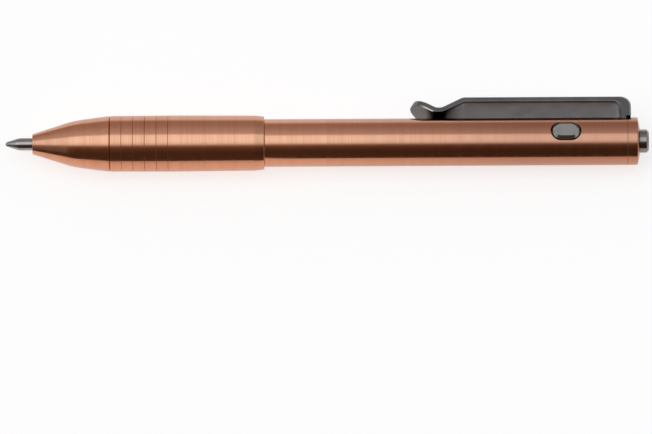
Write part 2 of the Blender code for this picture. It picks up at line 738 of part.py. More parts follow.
def make_side_button(name, side, group, surface):
    """Make one side button: a stadium face on a curved flange that the barrel holds in."""
    half_length = SIDE_BUTTON_LENGTH / 2
    half_width = SIDE_BUTTON_WIDTH / 2
    top = SIDE_BUTTON_HEIGHT
    edge = SIDE_BUTTON_EDGE
    levels = [
        (FLANGE_UNDER_RADIUS / 2, 0),
        (top - edge, 0),
        (top, edge),
    ]
    stem = loft(
        name + "_stem",
        [stadium(half_length - inset, half_width - inset, side * height) for height, inset in levels],
    )
    heights = (FLANGE_UNDER_RADIUS / 2, SLEEVE_SEAT_RADIUS + CUT_OVERRUN)
    flange = loft(
        name,
        [stadium(FLANGE_HALF_LENGTH, FLANGE_HALF_WIDTH, side * height) for height in heights],
    )
    button = finish(name, flange, surface, group, Vector((SIDE_BUTTON_STATION, 0, 0)))
    ends = (SIDE_BUTTON_STATION - SIDE_BUTTON_LENGTH, SIDE_BUTTON_STATION + SIDE_BUTTON_LENGTH)
    outer = lathe("flange_top", rod_profile(*ends, FLANGE_TOP_RADIUS), SHELL_FACETS)
    boolean(button, "INTERSECT", outer)
    boolean(button, "UNION", stem)
    inner = lathe("flange_under", rod_profile(*ends, FLANGE_UNDER_RADIUS), SHELL_FACETS)
    boolean(button, "DIFFERENCE", inner)


def make_leaf(name, side, group, surface):
    """Make the leaf spring that pushes one side button out."""
    heights = sorted(side * height for height in leaf_heights(0))
    mesh = box(
        name,
        (SLEEVE_FRONT + LAND_WALL, WINDOW_FRONT + LEAF_REACH),
        (-LEAF_WIDTH / 2, LEAF_WIDTH / 2),
        heights,
    )
    finish(name, mesh, surface, group, Vector((WINDOW_FRONT, 0, 0)))


def make_plunger(group, titanium, brass, steel, acetal):
    """Make the push button, the slotted rod, its pin, the catch spring and the cup."""
    hole_radius = STUD_RADIUS + FIT
    hole_floor = BUTTON_FRONT + STUD_LENGTH + SEAT
    profile = [
        (hole_floor, 0),
        (hole_floor, hole_radius),
        (BUTTON_FRONT, hole_radius),
        (BUTTON_FRONT, ROD_RADIUS),
        (PEN_REAR - BUTTON_CHAMFER, ROD_RADIUS),
        (PEN_REAR, ROD_RADIUS - BUTTON_CHAMFER),
        (PEN_REAR, 0),
    ]
    mesh = lathe("push_button", profile, INNER_FACETS)
    finish("push_button", mesh, titanium, group, Vector((BUTTON_FRONT, 0, 0)))

    rod_front = CUP_REAR + SEAT
    rod_rear = BUTTON_FRONT - SEAT
    profile = [
        (CUP_REAR - STUD_LENGTH, 0),
        (CUP_REAR - STUD_LENGTH, STUD_RADIUS),
        (rod_front, STUD_RADIUS),
        (rod_front, ROD_RADIUS),
        (rod_rear, ROD_RADIUS),
        (rod_rear, STUD_RADIUS),
        (rod_rear + STUD_LENGTH, STUD_RADIUS),
        (rod_rear + STUD_LENGTH, 0),
    ]
    mesh = lathe("plunger_rod", profile, INNER_FACETS)
    rod = finish("plunger_rod", mesh, brass, group, Vector((rod_front, 0, 0)))
    reach = ROD_RADIUS + CUT_OVERRUN
    slot_half = CATCH_WIDTH / 2 + FIT
    slot = box("catch_slot", (CATCH_FRONT - FIT, ROD_SLOT_REAR), (-slot_half, slot_half), (-reach, reach))
    boolean(rod, "DIFFERENCE", slot)
    hole = slab("pin_hole", pin_outline(PIN_RADIUS + FIT / 2), -reach, reach, "XZ")
    boolean(rod, "DIFFERENCE", hole)

    pin_half = math.sqrt(ROD_RADIUS ** 2 - PIN_RADIUS ** 2) - FIT
    pin = slab("plunger_pin", pin_outline(PIN_RADIUS), -pin_half, pin_half, "XZ")
    finish("plunger_pin", pin, steel, group, Vector((PIN_STATION, 0, 0)))

    mesh = slab("catch_spring", catch_outline(), -CATCH_WIDTH / 2, CATCH_WIDTH / 2, "XZ")
    finish("catch_spring", mesh, steel, group, Vector((CATCH_FRONT, 0, 0)))

    socket_floor = CUP_REAR - STUD_LENGTH - SEAT
    profile = [
        (CUP_FLOOR, 0),
        (CUP_FLOOR, REFILL_RADIUS + FIT),
        (CUP_FRONT, REFILL_RADIUS + FIT),
        (CUP_FRONT, CUP_RADIUS),
        (CUP_REAR, CUP_RADIUS),
        (CUP_REAR, hole_radius),
        (socket_floor, hole_radius),
        (socket_floor, 0),
    ]
    mesh = lathe("refill_cup", profile, INNER_FACETS)
    finish("refill_cup", mesh, acetal, group, Vector((CUP_FRONT, 0, 0)))


def catch_outline():
    """Give the catch spring's outline: a hairpin round the pin, with a lug on each leg."""
    leg = ROD_RADIUS - CATCH_SINK
    bend = PIN_RADIUS + SEAT * 2
    upper = [
        (CATCH_FRONT, bend + CATCH_THICKNESS),
        (LUG_FRONT, leg),
        (LUG_FRONT + LUG_LENGTH / 2, FLANGE_UNDER_RADIUS - SEAT),
        (LUG_REAR, FLANGE_UNDER_RADIUS - SEAT),
        (LUG_REAR, leg - CATCH_THICKNESS),
        (LUG_FRONT, leg - CATCH_THICKNESS),
        (CATCH_FRONT + CATCH_THICKNESS, bend),
    ]
    return upper + [(x, -z) for x, z in reversed(upper)]


def pin_outline(radius):
    """Give the outline of the cross pin, seen along Y."""
    angles = [math.tau * i / STADIUM_FACETS for i in range(STADIUM_FACETS)]
    return [(PIN_STATION + radius * math.cos(a), radius * math.sin(a)) for a in angles]


def make_refill(group, steel, carbide, plastic, ink):
    """Make the refill: its front with the ball, the tube, the ink and the rear plug."""
    at_front = Vector((0, 0, 0))
    mesh = lathe("refill_nose", refill_tip_profile(), SMALL_FACETS)
    finish("refill_nose", mesh, steel, group, at_front)
    bm = bmesh.new()
    centre = Matrix.Translation((BALL_RADIUS, 0, 0))
    bmesh.ops.create_uvsphere(
        bm, u_segments=STADIUM_FACETS, v_segments=STADIUM_FACETS // 2, radius=BALL_RADIUS, matrix=centre
    )
    finish("writing_ball", mesh_from("writing_ball", bm), carbide, group, at_front)
    mesh = lathe("refill_tube", refill_tube_profile(), INNER_FACETS)
    finish("refill_tube", mesh, plastic, group, at_front)
    ink_front = REFILL_FRONT_LENGTH + STUB_LENGTH + SEAT
    plug_stub_front = PLUG_CROWN_FRONT - PLUG_STUB_LENGTH
    profile = rod_profile(ink_front, plug_stub_front - INK_AIR_LENGTH, REFILL_BORE_RADIUS - FIT)
    finish("ink_column", lathe("ink_column", profile, SMALL_FACETS), ink, group, at_front)
    profile = [
        (plug_stub_front, 0),
        (plug_stub_front, REFILL_BORE_RADIUS - FIT),
        (PLUG_CROWN_FRONT, REFILL_BORE_RADIUS - FIT),
        (PLUG_CROWN_FRONT, PLUG_CROWN_RADIUS),
        (REFILL_LENGTH, PLUG_CROWN_RADIUS),
        (REFILL_LENGTH, 0),
    ]
    finish("refill_plug", lathe("refill_plug", profile, SMALL_FACETS), plastic, group, at_front)


def make_clip(group, surface):
    """Make the clip: the bent arm, a leg that fits round the barrel, and the hooked foot."""
    mesh = loft("pocket_clip", clip_rings())
    clip = finish("pocket_clip", mesh, surface, group, group.location.copy())
    saddle = [
        (TAB_FRONT - CUT_OVERRUN, 0),
        (TAB_FRONT - CUT_OVERRUN, BARREL_RADIUS + FIT),
        (TAB_REAR, BARREL_RADIUS + FIT),
        (TAB_REAR, BARREL_RADIUS + CLIP_SHOULDER_GAP),
        (CLIP_REAR + CUT_OVERRUN, BARREL_RADIUS + CLIP_SHOULDER_GAP),
        (CLIP_REAR + CUT_OVERRUN, 0),
    ]
    boolean(clip, "DIFFERENCE", lathe("clip_saddle", saddle, SHELL_FACETS))
    front, rear = TAB_FRONT + CLIP_TAB_INSET, TAB_REAR - CLIP_TAB_INSET
    top = BARREL_RADIUS + CLIP_SHOULDER_GAP
    foot_front = TAB_FRONT - CLIP_FOOT_LENGTH
    outline = [
        (front, FOOT_TOP),
        (foot_front, FOOT_TOP),
        (foot_front, FOOT_BOTTOM),
        (rear, FOOT_BOTTOM),
        (rear, top),
        (front, top),
    ]
    tab = slab("clip_tab", outline, -CLIP_TAB_WIDTH / 2, CLIP_TAB_WIDTH / 2, "XY")
    boolean(clip, "UNION", tab)


def build():
    """Build the whole pen."""
    clear_scene()
    copper = material("turned_copper", "C07A58", 1, 0.28)
    titanium = material("dark_titanium", "5E5E60", 1, 0.42)
    steel = material("stainless_steel", "C9C9C7", 1, 0.2)
    spring_steel = material("spring_steel", "A9A9A6", 1, 0.3)
    brass = material("brass", "C9A455", 1, 0.35)
    acetal = material("black_acetal", "1C1C1D", 0, 0.45)
    rubber = material("nitrile_rubber", "111111", 0, 0.6)
    plastic = material("refill_plastic", "D8D8D4", 0, 0.4)
    ink = material("ink", "10142E", 0, 0.3)
    carbide = material("tungsten_carbide", "8C8C8C", 1, 0.25)

    pen = empty("pen_axis", PEN_ORIGIN)
    plunger = empty("plunger_axis", (0, 0, 0), pen)
    refill = empty("refill_axis", (0, 0, 0), pen)
    grip = empty("grip_axis", (0, 0, 0), pen)
    hinge = ((TAB_FRONT + TAB_REAR) / 2, (SLEEVE_SEAT_RADIUS + BARREL_RADIUS) / 2, 0)
    clip = empty("clip_axis", hinge, pen)
    body = empty("body_axis", (0, 0, 0), pen)

    make_grip(grip, copper, rubber)
    make_barrel(body, copper)
    make_end_cap(body, copper)
    make_sleeve(body, brass)
    make_plunger(plunger, titanium, brass, spring_steel, acetal)
    make_refill(refill, steel, carbide, plastic, ink)
    make_clip(clip, titanium)
    for name, side in (("upper", 1), ("lower", -1)):
        group = empty(f"side_button_{name}_axis", (SIDE_BUTTON_STATION, 0, 0), pen)
        make_side_button(f"side_button_{name}", side, group, titanium)
        make_leaf(f"side_button_spring_{name}", side, body, spring_steel)
    spring = coil("return_spring", SPRING_SEAT + SEAT, REFILL_FRONT_LENGTH - SEAT)
    finish("return_spring", spring, spring_steel, body, Vector((SPRING_SEAT, 0, 0)))


build()
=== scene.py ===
"""The looks of the retractable click pen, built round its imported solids.

The pen lies along X with its writing tip at -X. A station is a distance from the writing
tip along the pen, a radius is measured from the pen's axis, and a turn round the axis
starts at +Y, where the clip is, and goes through +Z, where the upper side button is.
A profile is rows of a station, a radius and the fillet of the corner there. Everything
is in metres.
"""

import math

import bpy
import numpy as np
from bpy.props import FloatProperty, FloatVectorProperty, PointerProperty
from mathutils import Matrix, Vector


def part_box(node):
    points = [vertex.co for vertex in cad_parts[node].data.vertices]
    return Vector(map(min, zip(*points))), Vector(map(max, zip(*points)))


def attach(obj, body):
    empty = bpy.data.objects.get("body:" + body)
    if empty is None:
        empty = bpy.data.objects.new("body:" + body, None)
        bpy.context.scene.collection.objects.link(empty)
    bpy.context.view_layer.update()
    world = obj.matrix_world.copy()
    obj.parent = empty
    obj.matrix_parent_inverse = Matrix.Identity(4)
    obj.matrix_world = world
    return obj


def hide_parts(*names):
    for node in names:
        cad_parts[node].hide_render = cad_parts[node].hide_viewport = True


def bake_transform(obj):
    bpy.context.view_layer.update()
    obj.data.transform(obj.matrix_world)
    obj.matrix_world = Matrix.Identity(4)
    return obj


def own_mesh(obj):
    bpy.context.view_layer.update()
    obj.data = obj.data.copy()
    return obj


bl_info = {
    "name": "Retractable click pen",
    "version": (1, 0, 0),
    "blender": (4, 5, 0),
    "location": "3D View > Sidebar > Pen",
    "description": "Turned copper click pen with a pocket clip and two side buttons",
    "category": "Object",
}

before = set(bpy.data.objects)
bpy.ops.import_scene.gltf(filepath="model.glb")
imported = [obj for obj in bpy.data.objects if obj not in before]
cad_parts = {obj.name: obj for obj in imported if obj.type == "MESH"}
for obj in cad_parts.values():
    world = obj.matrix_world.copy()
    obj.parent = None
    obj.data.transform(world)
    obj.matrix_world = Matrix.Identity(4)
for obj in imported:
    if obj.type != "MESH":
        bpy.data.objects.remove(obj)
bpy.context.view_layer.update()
TIP_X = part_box("writing_ball")[0].x
MM = 0.001


def middle(node):
    """The middle of a CAD node's box."""
    low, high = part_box(node)
    return (low + high) / 2


AXIS = Vector((0, middle("refill_nose").y, middle("refill_nose").z))


def stations(node):
    """The stations of a CAD node's front and rear: its box's ends less the writing tip."""
    low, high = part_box(node)
    return low.x - TIP_X, high.x - TIP_X


def outer_radius(node):
    """The largest radius of a round CAD node: half its box's height."""
    low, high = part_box(node)
    return (high.z - low.z) / 2


NOSE_FACE, TENON_END = stations("grip_section")
BARREL_FRONT, BARREL_REAR = stations("barrel")
PLUG_FRONT, CAP_REAR = stations("end_cap")
BUTTON_FRONT, PEN_REAR = stations("push_button")
SIDE_BUTTON_STATION = middle("side_button_upper").x - TIP_X
SIDE_BUTTON_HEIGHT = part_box("side_button_upper")[1].z - AXIS.z
GRIP_RADIUS = outer_radius("grip_section")
BARREL_RADIUS = outer_radius("barrel")
BUTTON_RADIUS = outer_radius("push_button")
CLIP_REAR = stations("pocket_clip")[1]
CLIP_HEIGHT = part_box("pocket_clip")[1].y - AXIS.y

POINT_RADIUS = 1.34 * MM
NOSE_HOLE = 1.42 * MM
# The gap that shows between the grip section, the barrel and the end cap.
SEAM = 0.03 * MM
# The fillet of an edge that is only broken.
BROKEN = 0.05 * MM

# How finely the curved pieces are cut up. A rounded corner gives one row for each step
# of its arc and one more.
CORNER_STEPS = 4
CORNER_ROWS = CORNER_STEPS + 1
TURN_STEPS = 240


# ---------------------------------------------------------------- shapes


def left_of(ways):
    """Directions in a plane, a quarter turn to the left: (-y, x)."""
    return np.stack([-ways[:, 1], ways[:, 0]], axis=1)


def rounded(corners, closed=True, steps=CORNER_STEPS):
    """Round the corners of a polyline, and give its points and their normals.

    corners is rows of (along, out, fillet). The arc's centre lies one fillet from both
    runs. The normal turns evenly from the first run's left to the second's, and a point
    is the centre plus or minus the fillet times the normal. A corner that doesn't turn
    gives one point.
    """
    corners = np.asarray(corners, float)
    places, fillets = corners[:, :2], corners[:, 2]
    ahead = np.roll(places, -1, axis=0) - places
    ahead /= np.linalg.norm(ahead, axis=1)[:, None]
    behind = np.roll(ahead, 1, axis=0)
    if not closed:
        ahead[-1] = behind[-1]
        behind[0] = ahead[0]
    left = left_of(behind)
    turn = np.arctan2((left * ahead).sum(axis=1), (behind * ahead).sum(axis=1))
    reach = fillets * np.tan(np.abs(turn) / 2)
    bend = (np.sign(turn) * fillets)[:, None]
    centre = places - behind * reach[:, None] + left * bend
    angle = turn[:, None] * np.linspace(0, 1, steps + 1)
    cos, sin = np.cos(angle)[..., None], np.sin(angle)[..., None]
    normal = left[:, None] * cos + left_of(left)[:, None] * sin
    points = centre[:, None] - normal * bend[:, None]
    keep = np.ones(angle.shape, bool)
    keep[np.abs(turn) < 1e-6, 1:] = False
    return points[keep], normal[keep]


def circle(count):
    """The angles of count even steps round a whole turn."""
    return np.arange(count) * math.tau / count


def stacked(*parts):
    """Coordinates stacked into points, once all are spread to one shape."""
    return np.stack(np.broadcast_arrays(*parts), axis=-1)


def in_pen(station, across, up):
    """Points given by their station and their distances from the axis along Y and Z."""
    return stacked(TIP_X + station, AXIS.y + across, AXIS.z + up)


def placed(station, radius, turn):
    """Points carried round the axis: (station, radius * cos turn, radius * sin turn)."""
    return in_pen(station, radius * np.cos(turn), radius * np.sin(turn))


def facing(along, out, turn):
    """Directions carried round the axis: (along, out * cos turn, out * sin turn)."""
    return stacked(along, out * np.cos(turn), out * np.sin(turn))


TURN = circle(TURN_STEPS)[None, :]


def spun(profile, normals, turn=TURN):
    """A profile and its normals carried round the axis, one row for each of its points."""
    points = placed(profile[:, :1], profile[:, 1:], turn)
    return points, facing(normals[:, :1], normals[:, 1:], turn)


def ring_faces(first, second):
    """The quads between two rings of points, given by the points' numbers."""
    return np.stack([first, np.roll(first, -1), np.roll(second, -1), second], axis=1)


def grid_faces(rows, columns, wrap_rows, wrap_columns, first=0):
    """The quads of a grid, numbered row by row from first.

    A point's number is its row times the number of columns, plus its column. Each quad
    has a point, the one beside it and the two below them.
    """
    row = np.arange(rows if wrap_rows else rows - 1)
    column = np.arange(columns if wrap_columns else columns - 1)
    row, column = np.meshgrid(row * columns, column, indexing="ij")
    below, beside = (row + columns) % (rows * columns), (column + 1) % columns
    quads = [row + column, row + beside, below + beside, below + column]
    return np.stack(quads, axis=-1).reshape(-1, 4) + first


class Skin:
    """Points, normals and faces from several grids, collected into one mesh."""

    def __init__(self):
        self.points, self.normals, self.faces = [], [], []
        self.count = 0

    def add(self, points, normals, faces):
        """Add points with their normals, and faces numbered through the whole skin."""
        normals = np.broadcast_to(np.asarray(normals, float), points.shape)
        self.points.append(points.reshape(-1, 3))
        self.normals.append(normals.reshape(-1, 3))
        self.faces.append(faces)
        self.count += points.size // 3

    def grid(self, points, normals, wrap_rows=False, wrap_columns=False):
        """Add a grid of points, closed on itself in the ways that wrap."""
        rows, columns = points.shape[:2]
        self.add(points, normals, grid_faces(rows, columns, wrap_rows, wrap_columns, self.count))

    def disc(self, ring, normal, centre=None):
        """Close a ring with triangles to a centre, which is the ring's mean if none is given.

        A triangle is a quad whose last two points are the same.
        """
        centre = ring.mean(axis=0) if centre is None else centre
        number = self.count + np.arange(len(ring))
        hub = np.full(len(ring), self.count + len(ring))
        self.add(np.concatenate([ring, [centre]]), normal, ring_faces(number, hub))

    def mesh(self, name):
        """Make the mesh, with each face turned the way its normals point.

        A face's own direction is the cross product of its diagonals.
        """
        points, faces = np.concatenate(self.points), np.concatenate(self.faces)
        normals = np.concatenate(self.normals)
        normals = normals / np.linalg.norm(normals, axis=1)[:, None]
        corner = points[faces]
        across = np.cross(corner[:, 2] - corner[:, 0], corner[:, 3] - corner[:, 1])
        wrong = (across * normals[faces].sum(axis=1)).sum(axis=1) < 0
        faces[wrong] = faces[wrong][:, [1, 0, 3, 2]]
        lists = [face[:3] if face[2] == face[3] else face for face in faces.tolist()]
        made = bpy.data.meshes.new(name)
        made.from_pydata(points.tolist(), [], lists)
        made.shade_smooth()
        made.normals_split_custom_set_from_vertices(normals.tolist())
        return made


def new_object(name, data):
    """Put a mesh or a camera into the scene."""
    made = bpy.data.objects.new(name, data)
    bpy.context.scene.collection.objects.link(made)
    return made


def finish_piece(name, skin, surface, body, node):
    """Make a piece of a skin, with its material, its CAD body and the node it stands for."""
    mesh = skin.mesh(name)
    mesh.materials.append(surface)
    made = new_object(name, mesh)
    if body:
        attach(made, body)
    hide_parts(node)
    return made


def write_share(made, name, shares):
    """Give a piece's first points their shares from 0 to 1, and 0 to all that follow."""
    values = np.zeros(len(made.data.vertices))
    values[:shares.size] = shares.ravel()
    made.data.attributes.new(name, "FLOAT", "POINT").data.foreach_set("value", values)


def revolve(profile, normals, closed=True, turn=TURN):
    """The skin of a profile carried round the axis.

    A profile that isn't closed starts and ends on the axis, where a disc closes it.
    """
    skin = Skin()
    if not closed:
        for end, row in ((0, 1), (-1, -2)):
            ring = placed(profile[row, 0], profile[row, 1], turn[0])
            skin.disc(ring, (normals[row, 0], 0, 0), placed(profile[end, 0], 0, 0))
        profile, normals = profile[1:-1], normals[1:-1]
    skin.grid(*spun(profile, normals, turn), closed, True)
    return skin


def thread_height(station, turn, front, pitch, turns, depth):
    """How far a helical ridge stands out at a station and a turn.

    The helix moves on by one pitch in each turn. Across it the ridge falls evenly from
    its full height at the crest to nothing at the foot, both given as shares of the
    pitch, and its height fades in and out over the first and last quarter turn.
    """
    crest, foot = 0.09, 0.31
    lap = (station - front) / pitch
    wound = np.floor(lap - turn / math.tau + 0.5) + turn / math.tau
    ridge = np.clip((foot - np.abs(lap - wound)) / (foot - crest), 0, 1)
    fade = np.clip(np.minimum(wound, turns - wound) * 4, 0, 1)
    return depth * ridge * fade


def grid_normals(points):
    """Normals of a grid: the cross product of its own steps in both directions."""
    down = np.gradient(points, axis=0)
    across = (np.roll(points, -1, axis=1) - np.roll(points, 1, axis=1)) / 2
    normal = np.cross(down, across)
    return normal / np.linalg.norm(normal, axis=-1)[..., None]


def stadium_edge(angle, half_length, half_width):
    """Points on a stadium's edge in given directions, with the edge's outward normals.

    On the straight sides the reach is the half width over the sine of the angle. On the
    round ends it is where the direction leaves the end's circle: the core's length times
    the cosine, plus the root of the half width squared less the core times the sine
    squared. The normal points away from the nearest point of the core.
    """
    core = half_length - half_width
    along, across = np.abs(np.cos(angle)), np.abs(np.sin(angle))
    with np.errstate(divide="ignore"):
        flat = half_width / across
    round_end = core * along + np.sqrt(np.maximum(half_width ** 2 - (core * across) ** 2, 0))
    reach = np.where(flat * along <= core, flat, round_end)
    points = stacked(reach * np.cos(angle), reach * np.sin(angle))
    out = points.copy()
    out[:, 0] -= np.clip(points[:, 0], -core, core)
    return points, out / np.linalg.norm(out, axis=1)[:, None]


# ---------------------------------------------------------------- materials


def linear(hex_colour):
    """Turn an sRGB hex colour into Blender's linear colour."""
    channels = [int(hex_colour[start:start + 2], 16) / 255 for start in (0, 2, 4)]
    return (*[c / 12.92 if c <= 0.04045 else ((c + 0.055) / 1.055) ** 2.4 for c in channels], 1)


def cleared(owner):
    """Give a material or a world an empty node tree."""
    owner.use_nodes = True
    owner.node_tree.nodes.clear()
    return owner.node_tree


def add_node(tree, kind, inputs=None, **settings):
    """Add a node with its settings, and set or link its inputs.

    An input that is given as a node is linked to that node's first output.
    """
    made = tree.nodes.new(kind)
    for name, value in settings.items():
        setattr(made, name, value)
    for name, value in (inputs or {}).items():
        if isinstance(value, bpy.types.Node):
            value = value.outputs[0]
        if isinstance(value, bpy.types.NodeSocket):
            tree.links.new(value, made.inputs[name])
        else:
            made.inputs[name].default_value = value
    return made


def set_stops(ramp, stops):
    """Replace a ramp's stops by others, in rising order, each a place and a linear colour."""
    elements = ramp.color_ramp.elements
    elements.remove(elements[1])
    for place, colour in stops:
        elements.new(place).color = (*colour, 1)
    elements.remove(elements[0])


def new_material(name, sockets):
    """Make a material with one Principled shader and the shader's own sockets set."""
    made = bpy.data.materials.new(name)
    tree = cleared(made)
    shader = add_node(tree, "ShaderNodeBsdfPrincipled", sockets)
    add_node(tree, "ShaderNodeOutputMaterial", {"Surface": shader})
    return made, tree, shader


def dress(tree, shader, colour, layers, gloss, relief):
    """Give a shader its colour, its gloss and its relief.

    Each layer is a share and a colour, and the colour so far is mixed with the layer's by
    that share. A share that is a word is read from the piece's attribute of that name.
    gloss holds the inputs of the map to the roughness, and relief those of the bump.
    """
    for share, layer in layers:
        if isinstance(share, str):
            share = add_node(tree, "ShaderNodeAttribute", attribute_name=share).outputs["Fac"]
        inputs = {0: share, 6: colour, 7: layer}
        colour = add_node(tree, "ShaderNodeMix", inputs, data_type="RGBA").outputs[2]
    rough = add_node(tree, "ShaderNodeMapRange", gloss).outputs[0]
    bump = add_node(tree, "ShaderNodeBump", relief).outputs[0]
    for name, output in (("Base Color", colour), ("Roughness", rough), ("Normal", bump)):
        tree.links.new(output, shader.inputs[name])


def turned_metal(
    name, colour, dark_colour, roughness, mark_width, depth, tone=1.0, rear_colour=None, covers=()
):
    """Make a metal that was turned on a lathe.

    The tool leaves rings round the axis, so the tone, the gloss and the height are noise
    of the place along the pen alone. The gloss stretches across the rings: along the pen,
    and on an end face away from the axis.
    """
    made, tree, shader = new_material(name, {"Metallic": 1.0, "Anisotropic": 0.6})
    place = add_node(tree, "ShaderNodeTexCoord").outputs["Object"]
    along = add_node(tree, "ShaderNodeSeparateXYZ", {"Vector": place})
    # Rings from the tool: a fine set at the width given, and a coarse set six times as wide.
    fine, coarse = (
        add_node(
            tree, "ShaderNodeTexNoise",
            {"W": along, "Scale": 1 / width, "Detail": detail, "Roughness": crumble},
            noise_dimensions="1D",
        )
        for width, detail, crumble in ((mark_width, 3.0, 0.6), (6 * mark_width, 2.0, 0.5))
    )
    rings = add_node(tree, "ShaderNodeMath", {0: fine, 1: coarse}, operation="ADD")
    ring_span = {"Value": rings, "From Min": 0.8, "From Max": 1.2}
    toned = add_node(tree, "ShaderNodeMapRange", {**ring_span, "To Max": 0.6 * tone})
    # Handling: soft patches of slightly darker metal, about 7 mm across.
    patches = add_node(
        tree, "ShaderNodeTexNoise", {"Vector": place, "Scale": 1 / (7 * MM), "Detail": 4.0}
    )
    patch_span = {"Value": patches, "From Min": 0.45, "From Max": 0.75, "To Max": 0.35 * tone}
    handled = add_node(tree, "ShaderNodeMapRange", patch_span)
    both = {0: toned, 1: handled}
    share = add_node(tree, "ShaderNodeMath", both, operation="ADD", use_clamp=True)
    layers = [(share, dark_colour)]
    if rear_colour:
        # The barrel's copper turns darker and browner towards its rear end.
        rear_span = {"Value": along, "From Min": -8 * MM, "From Max": 42 * MM}
        layers.append((add_node(tree, "ShaderNodeMapRange", rear_span), rear_colour))
    gloss = {**ring_span, "To Min": roughness - 0.03, "To Max": roughness + 0.05}
    relief = {"Strength": 0.6, "Distance": depth, "Height": fine}
    dress(tree, shader, colour, [*layers, *covers], gloss, relief)
    # The gloss's direction: half the unit vector away from the axis, plus the pen's own.
    way = place
    for operation, inputs in (
        ("ADD", {1: tuple(-AXIS)}),
        ("MULTIPLY", {1: (0, 1, 1)}),
        ("NORMALIZE", {}),
        ("MULTIPLY_ADD", {1: (0.5, 0.5, 0.5), 2: (1, 0, 0)}),
    ):
        way = add_node(tree, "ShaderNodeVectorMath", {0: way, **inputs}, operation=operation)
    tree.links.new(way.outputs[0], shader.inputs["Tangent"])
    return made


def blasted_metal(name, metallic, colour, dark_colour, roughness, covers=()):
    """Make a bead-blasted metal, with a fine grain and soft rubbed patches.

    The height is fine noise, and the tone and the gloss follow coarse noise.
    """
    made, tree, shader = new_material(name, {"Metallic": metallic})
    place = add_node(tree, "ShaderNodeTexCoord").outputs["Object"]
    # Blasting leaves dimples of about 0.05 mm, drawn at 0.18 mm so that they show, and
    # fingers leave patches of about 3.5 mm.
    grain, patches = (
        add_node(
            tree, "ShaderNodeTexNoise", {"Vector": place, "Scale": 1 / width, "Detail": detail}
        )
        for width, detail in ((0.18 * MM, 2.0), (3.5 * MM, 4.0))
    )
    share = add_node(
        tree, "ShaderNodeMapRange", {"Value": patches, "From Min": 0.35, "From Max": 0.7}
    )
    gloss = {"Value": patches, "To Min": roughness - 0.06, "To Max": roughness + 0.06}
    relief = {"Strength": 0.35, "Distance": 0.01 * MM, "Height": grain}
    dress(tree, shader, colour, [(share, dark_colour), *covers], gloss, relief)
    return made


def plain(name, hex_colour, roughness, grain_width, sockets):
    """Make a plain surface, whose tone, gloss and height follow one faint noise."""
    made, tree, shader = new_material(name, sockets)
    place = add_node(tree, "ShaderNodeTexCoord").outputs["Object"]
    grain = add_node(
        tree, "ShaderNodeTexNoise", {"Vector": place, "Scale": 1 / grain_width, "Detail": 3.0}
    )
    colour = linear(hex_colour)
    dark = (*[c * 0.8 for c in colour[:3]], 1)
    gloss = {"Value": grain, "To Min": roughness - 0.05, "To Max": roughness + 0.05}
    relief = {"Strength": 0.2, "Distance": 0.01 * MM, "Height": grain}
    dress(tree, shader, colour, [(grain, dark)], gloss, relief)
    return made


# ---------------------------------------------------------------- sizes and colours


def length(name, description, size):
    """A setting for a length, whose default is given in millimetres."""
    return FloatProperty(name=name, description=description, default=size * MM, unit="LENGTH")


def tint(name, description, hex_colour):
    """A setting for a colour."""
    return FloatVectorProperty(
        name=name, description=description, default=linear(hex_colour)[:3],
        subtype="COLOR", min=0, max=1,
    )


class PenSizes(bpy.types.PropertyGroup):
    """The sizes of the pen's visible pieces that a user would change."""

    nose_cone: length("Nose cone", "Length of the steep part of the nose", 8.8)
    groove_pitch: length("Groove pitch", "Distance between grip grooves", 2.5)
    groove_depth: length("Groove depth", "Depth of the grip grooves", 0.16)
    window_edge: length("Window edge", "Width of the bevel round a side window", 0.2)
    button_edge: length("Side button edge", "Width of the bevel on a side button", 0.6)
    clip_edge: length("Clip edge", "Width of the bevel along the clip's edges", 0.3)


class PenColours(bpy.types.PropertyGroup):
    """The colours of the pen's metals and of the stage that a user would change."""

    copper: tint("Copper", "Bare turned copper", "F4BA98")
    # This colour is mixed into the barrel's copper more and more towards its rear end.
    rear_copper: tint("Worn copper", "Copper darkened by handling, at the barrel's rear", "D6A084")
    clip: tint("Clip", "Anodised titanium of the clip", "858B8B")
    side_button: tint("Side button", "Blasted metal of the side buttons", "C2CBCB")
    push_button: tint("Push button", "Turned metal of the push button", "9E9D9B")
    point: tint("Point", "Steel of the refill's point", "BDBDBC")
    floor: tint("Floor", "Colour of the floor", "D6DADA")


def chosen(name):
    """A colour from the panel, as a shader takes it."""
    return (*getattr(bpy.context.scene.pen_colours, name), 1)


# ---------------------------------------------------------------- pieces


def copper(polished):
    """Copper, turned and left bare: the tool's rings give it a silky gloss along the pen.

    Fingers polish the grip section and leave brown oxide in its grooves only. The barrel
    is duller, and browner towards its rear end.
    """
    name = "polished_copper" if polished else "satin_copper"
    if name in bpy.data.materials:
        return bpy.data.materials[name]
    if polished:
        covers = [("tarnish", linear("A86A48"))]
        finish = {"roughness": 0.17, "depth": 0.0009 * MM, "covers": covers}
    else:
        finish = {"roughness": 0.19, "depth": 0.001 * MM, "rear_colour": chosen("rear_copper")}
    # Feed marks are about 0.08 mm apart, drawn at 0.35 mm so that they show.
    return turned_metal(
        name, chosen("copper"), linear("E4A37E"), mark_width=0.35 * MM, tone=0.5, **finish
    )


def spring_wire():
    """Spring steel, drawn through a die: pale grey and smooth, with a slightly uneven shine."""
    name = "drawn_spring_wire"
    if name in bpy.data.materials:
        return bpy.data.materials[name]
    return plain(name, "A9A9A6", 0.28, 0.3 * MM, {"Metallic": 1.0})


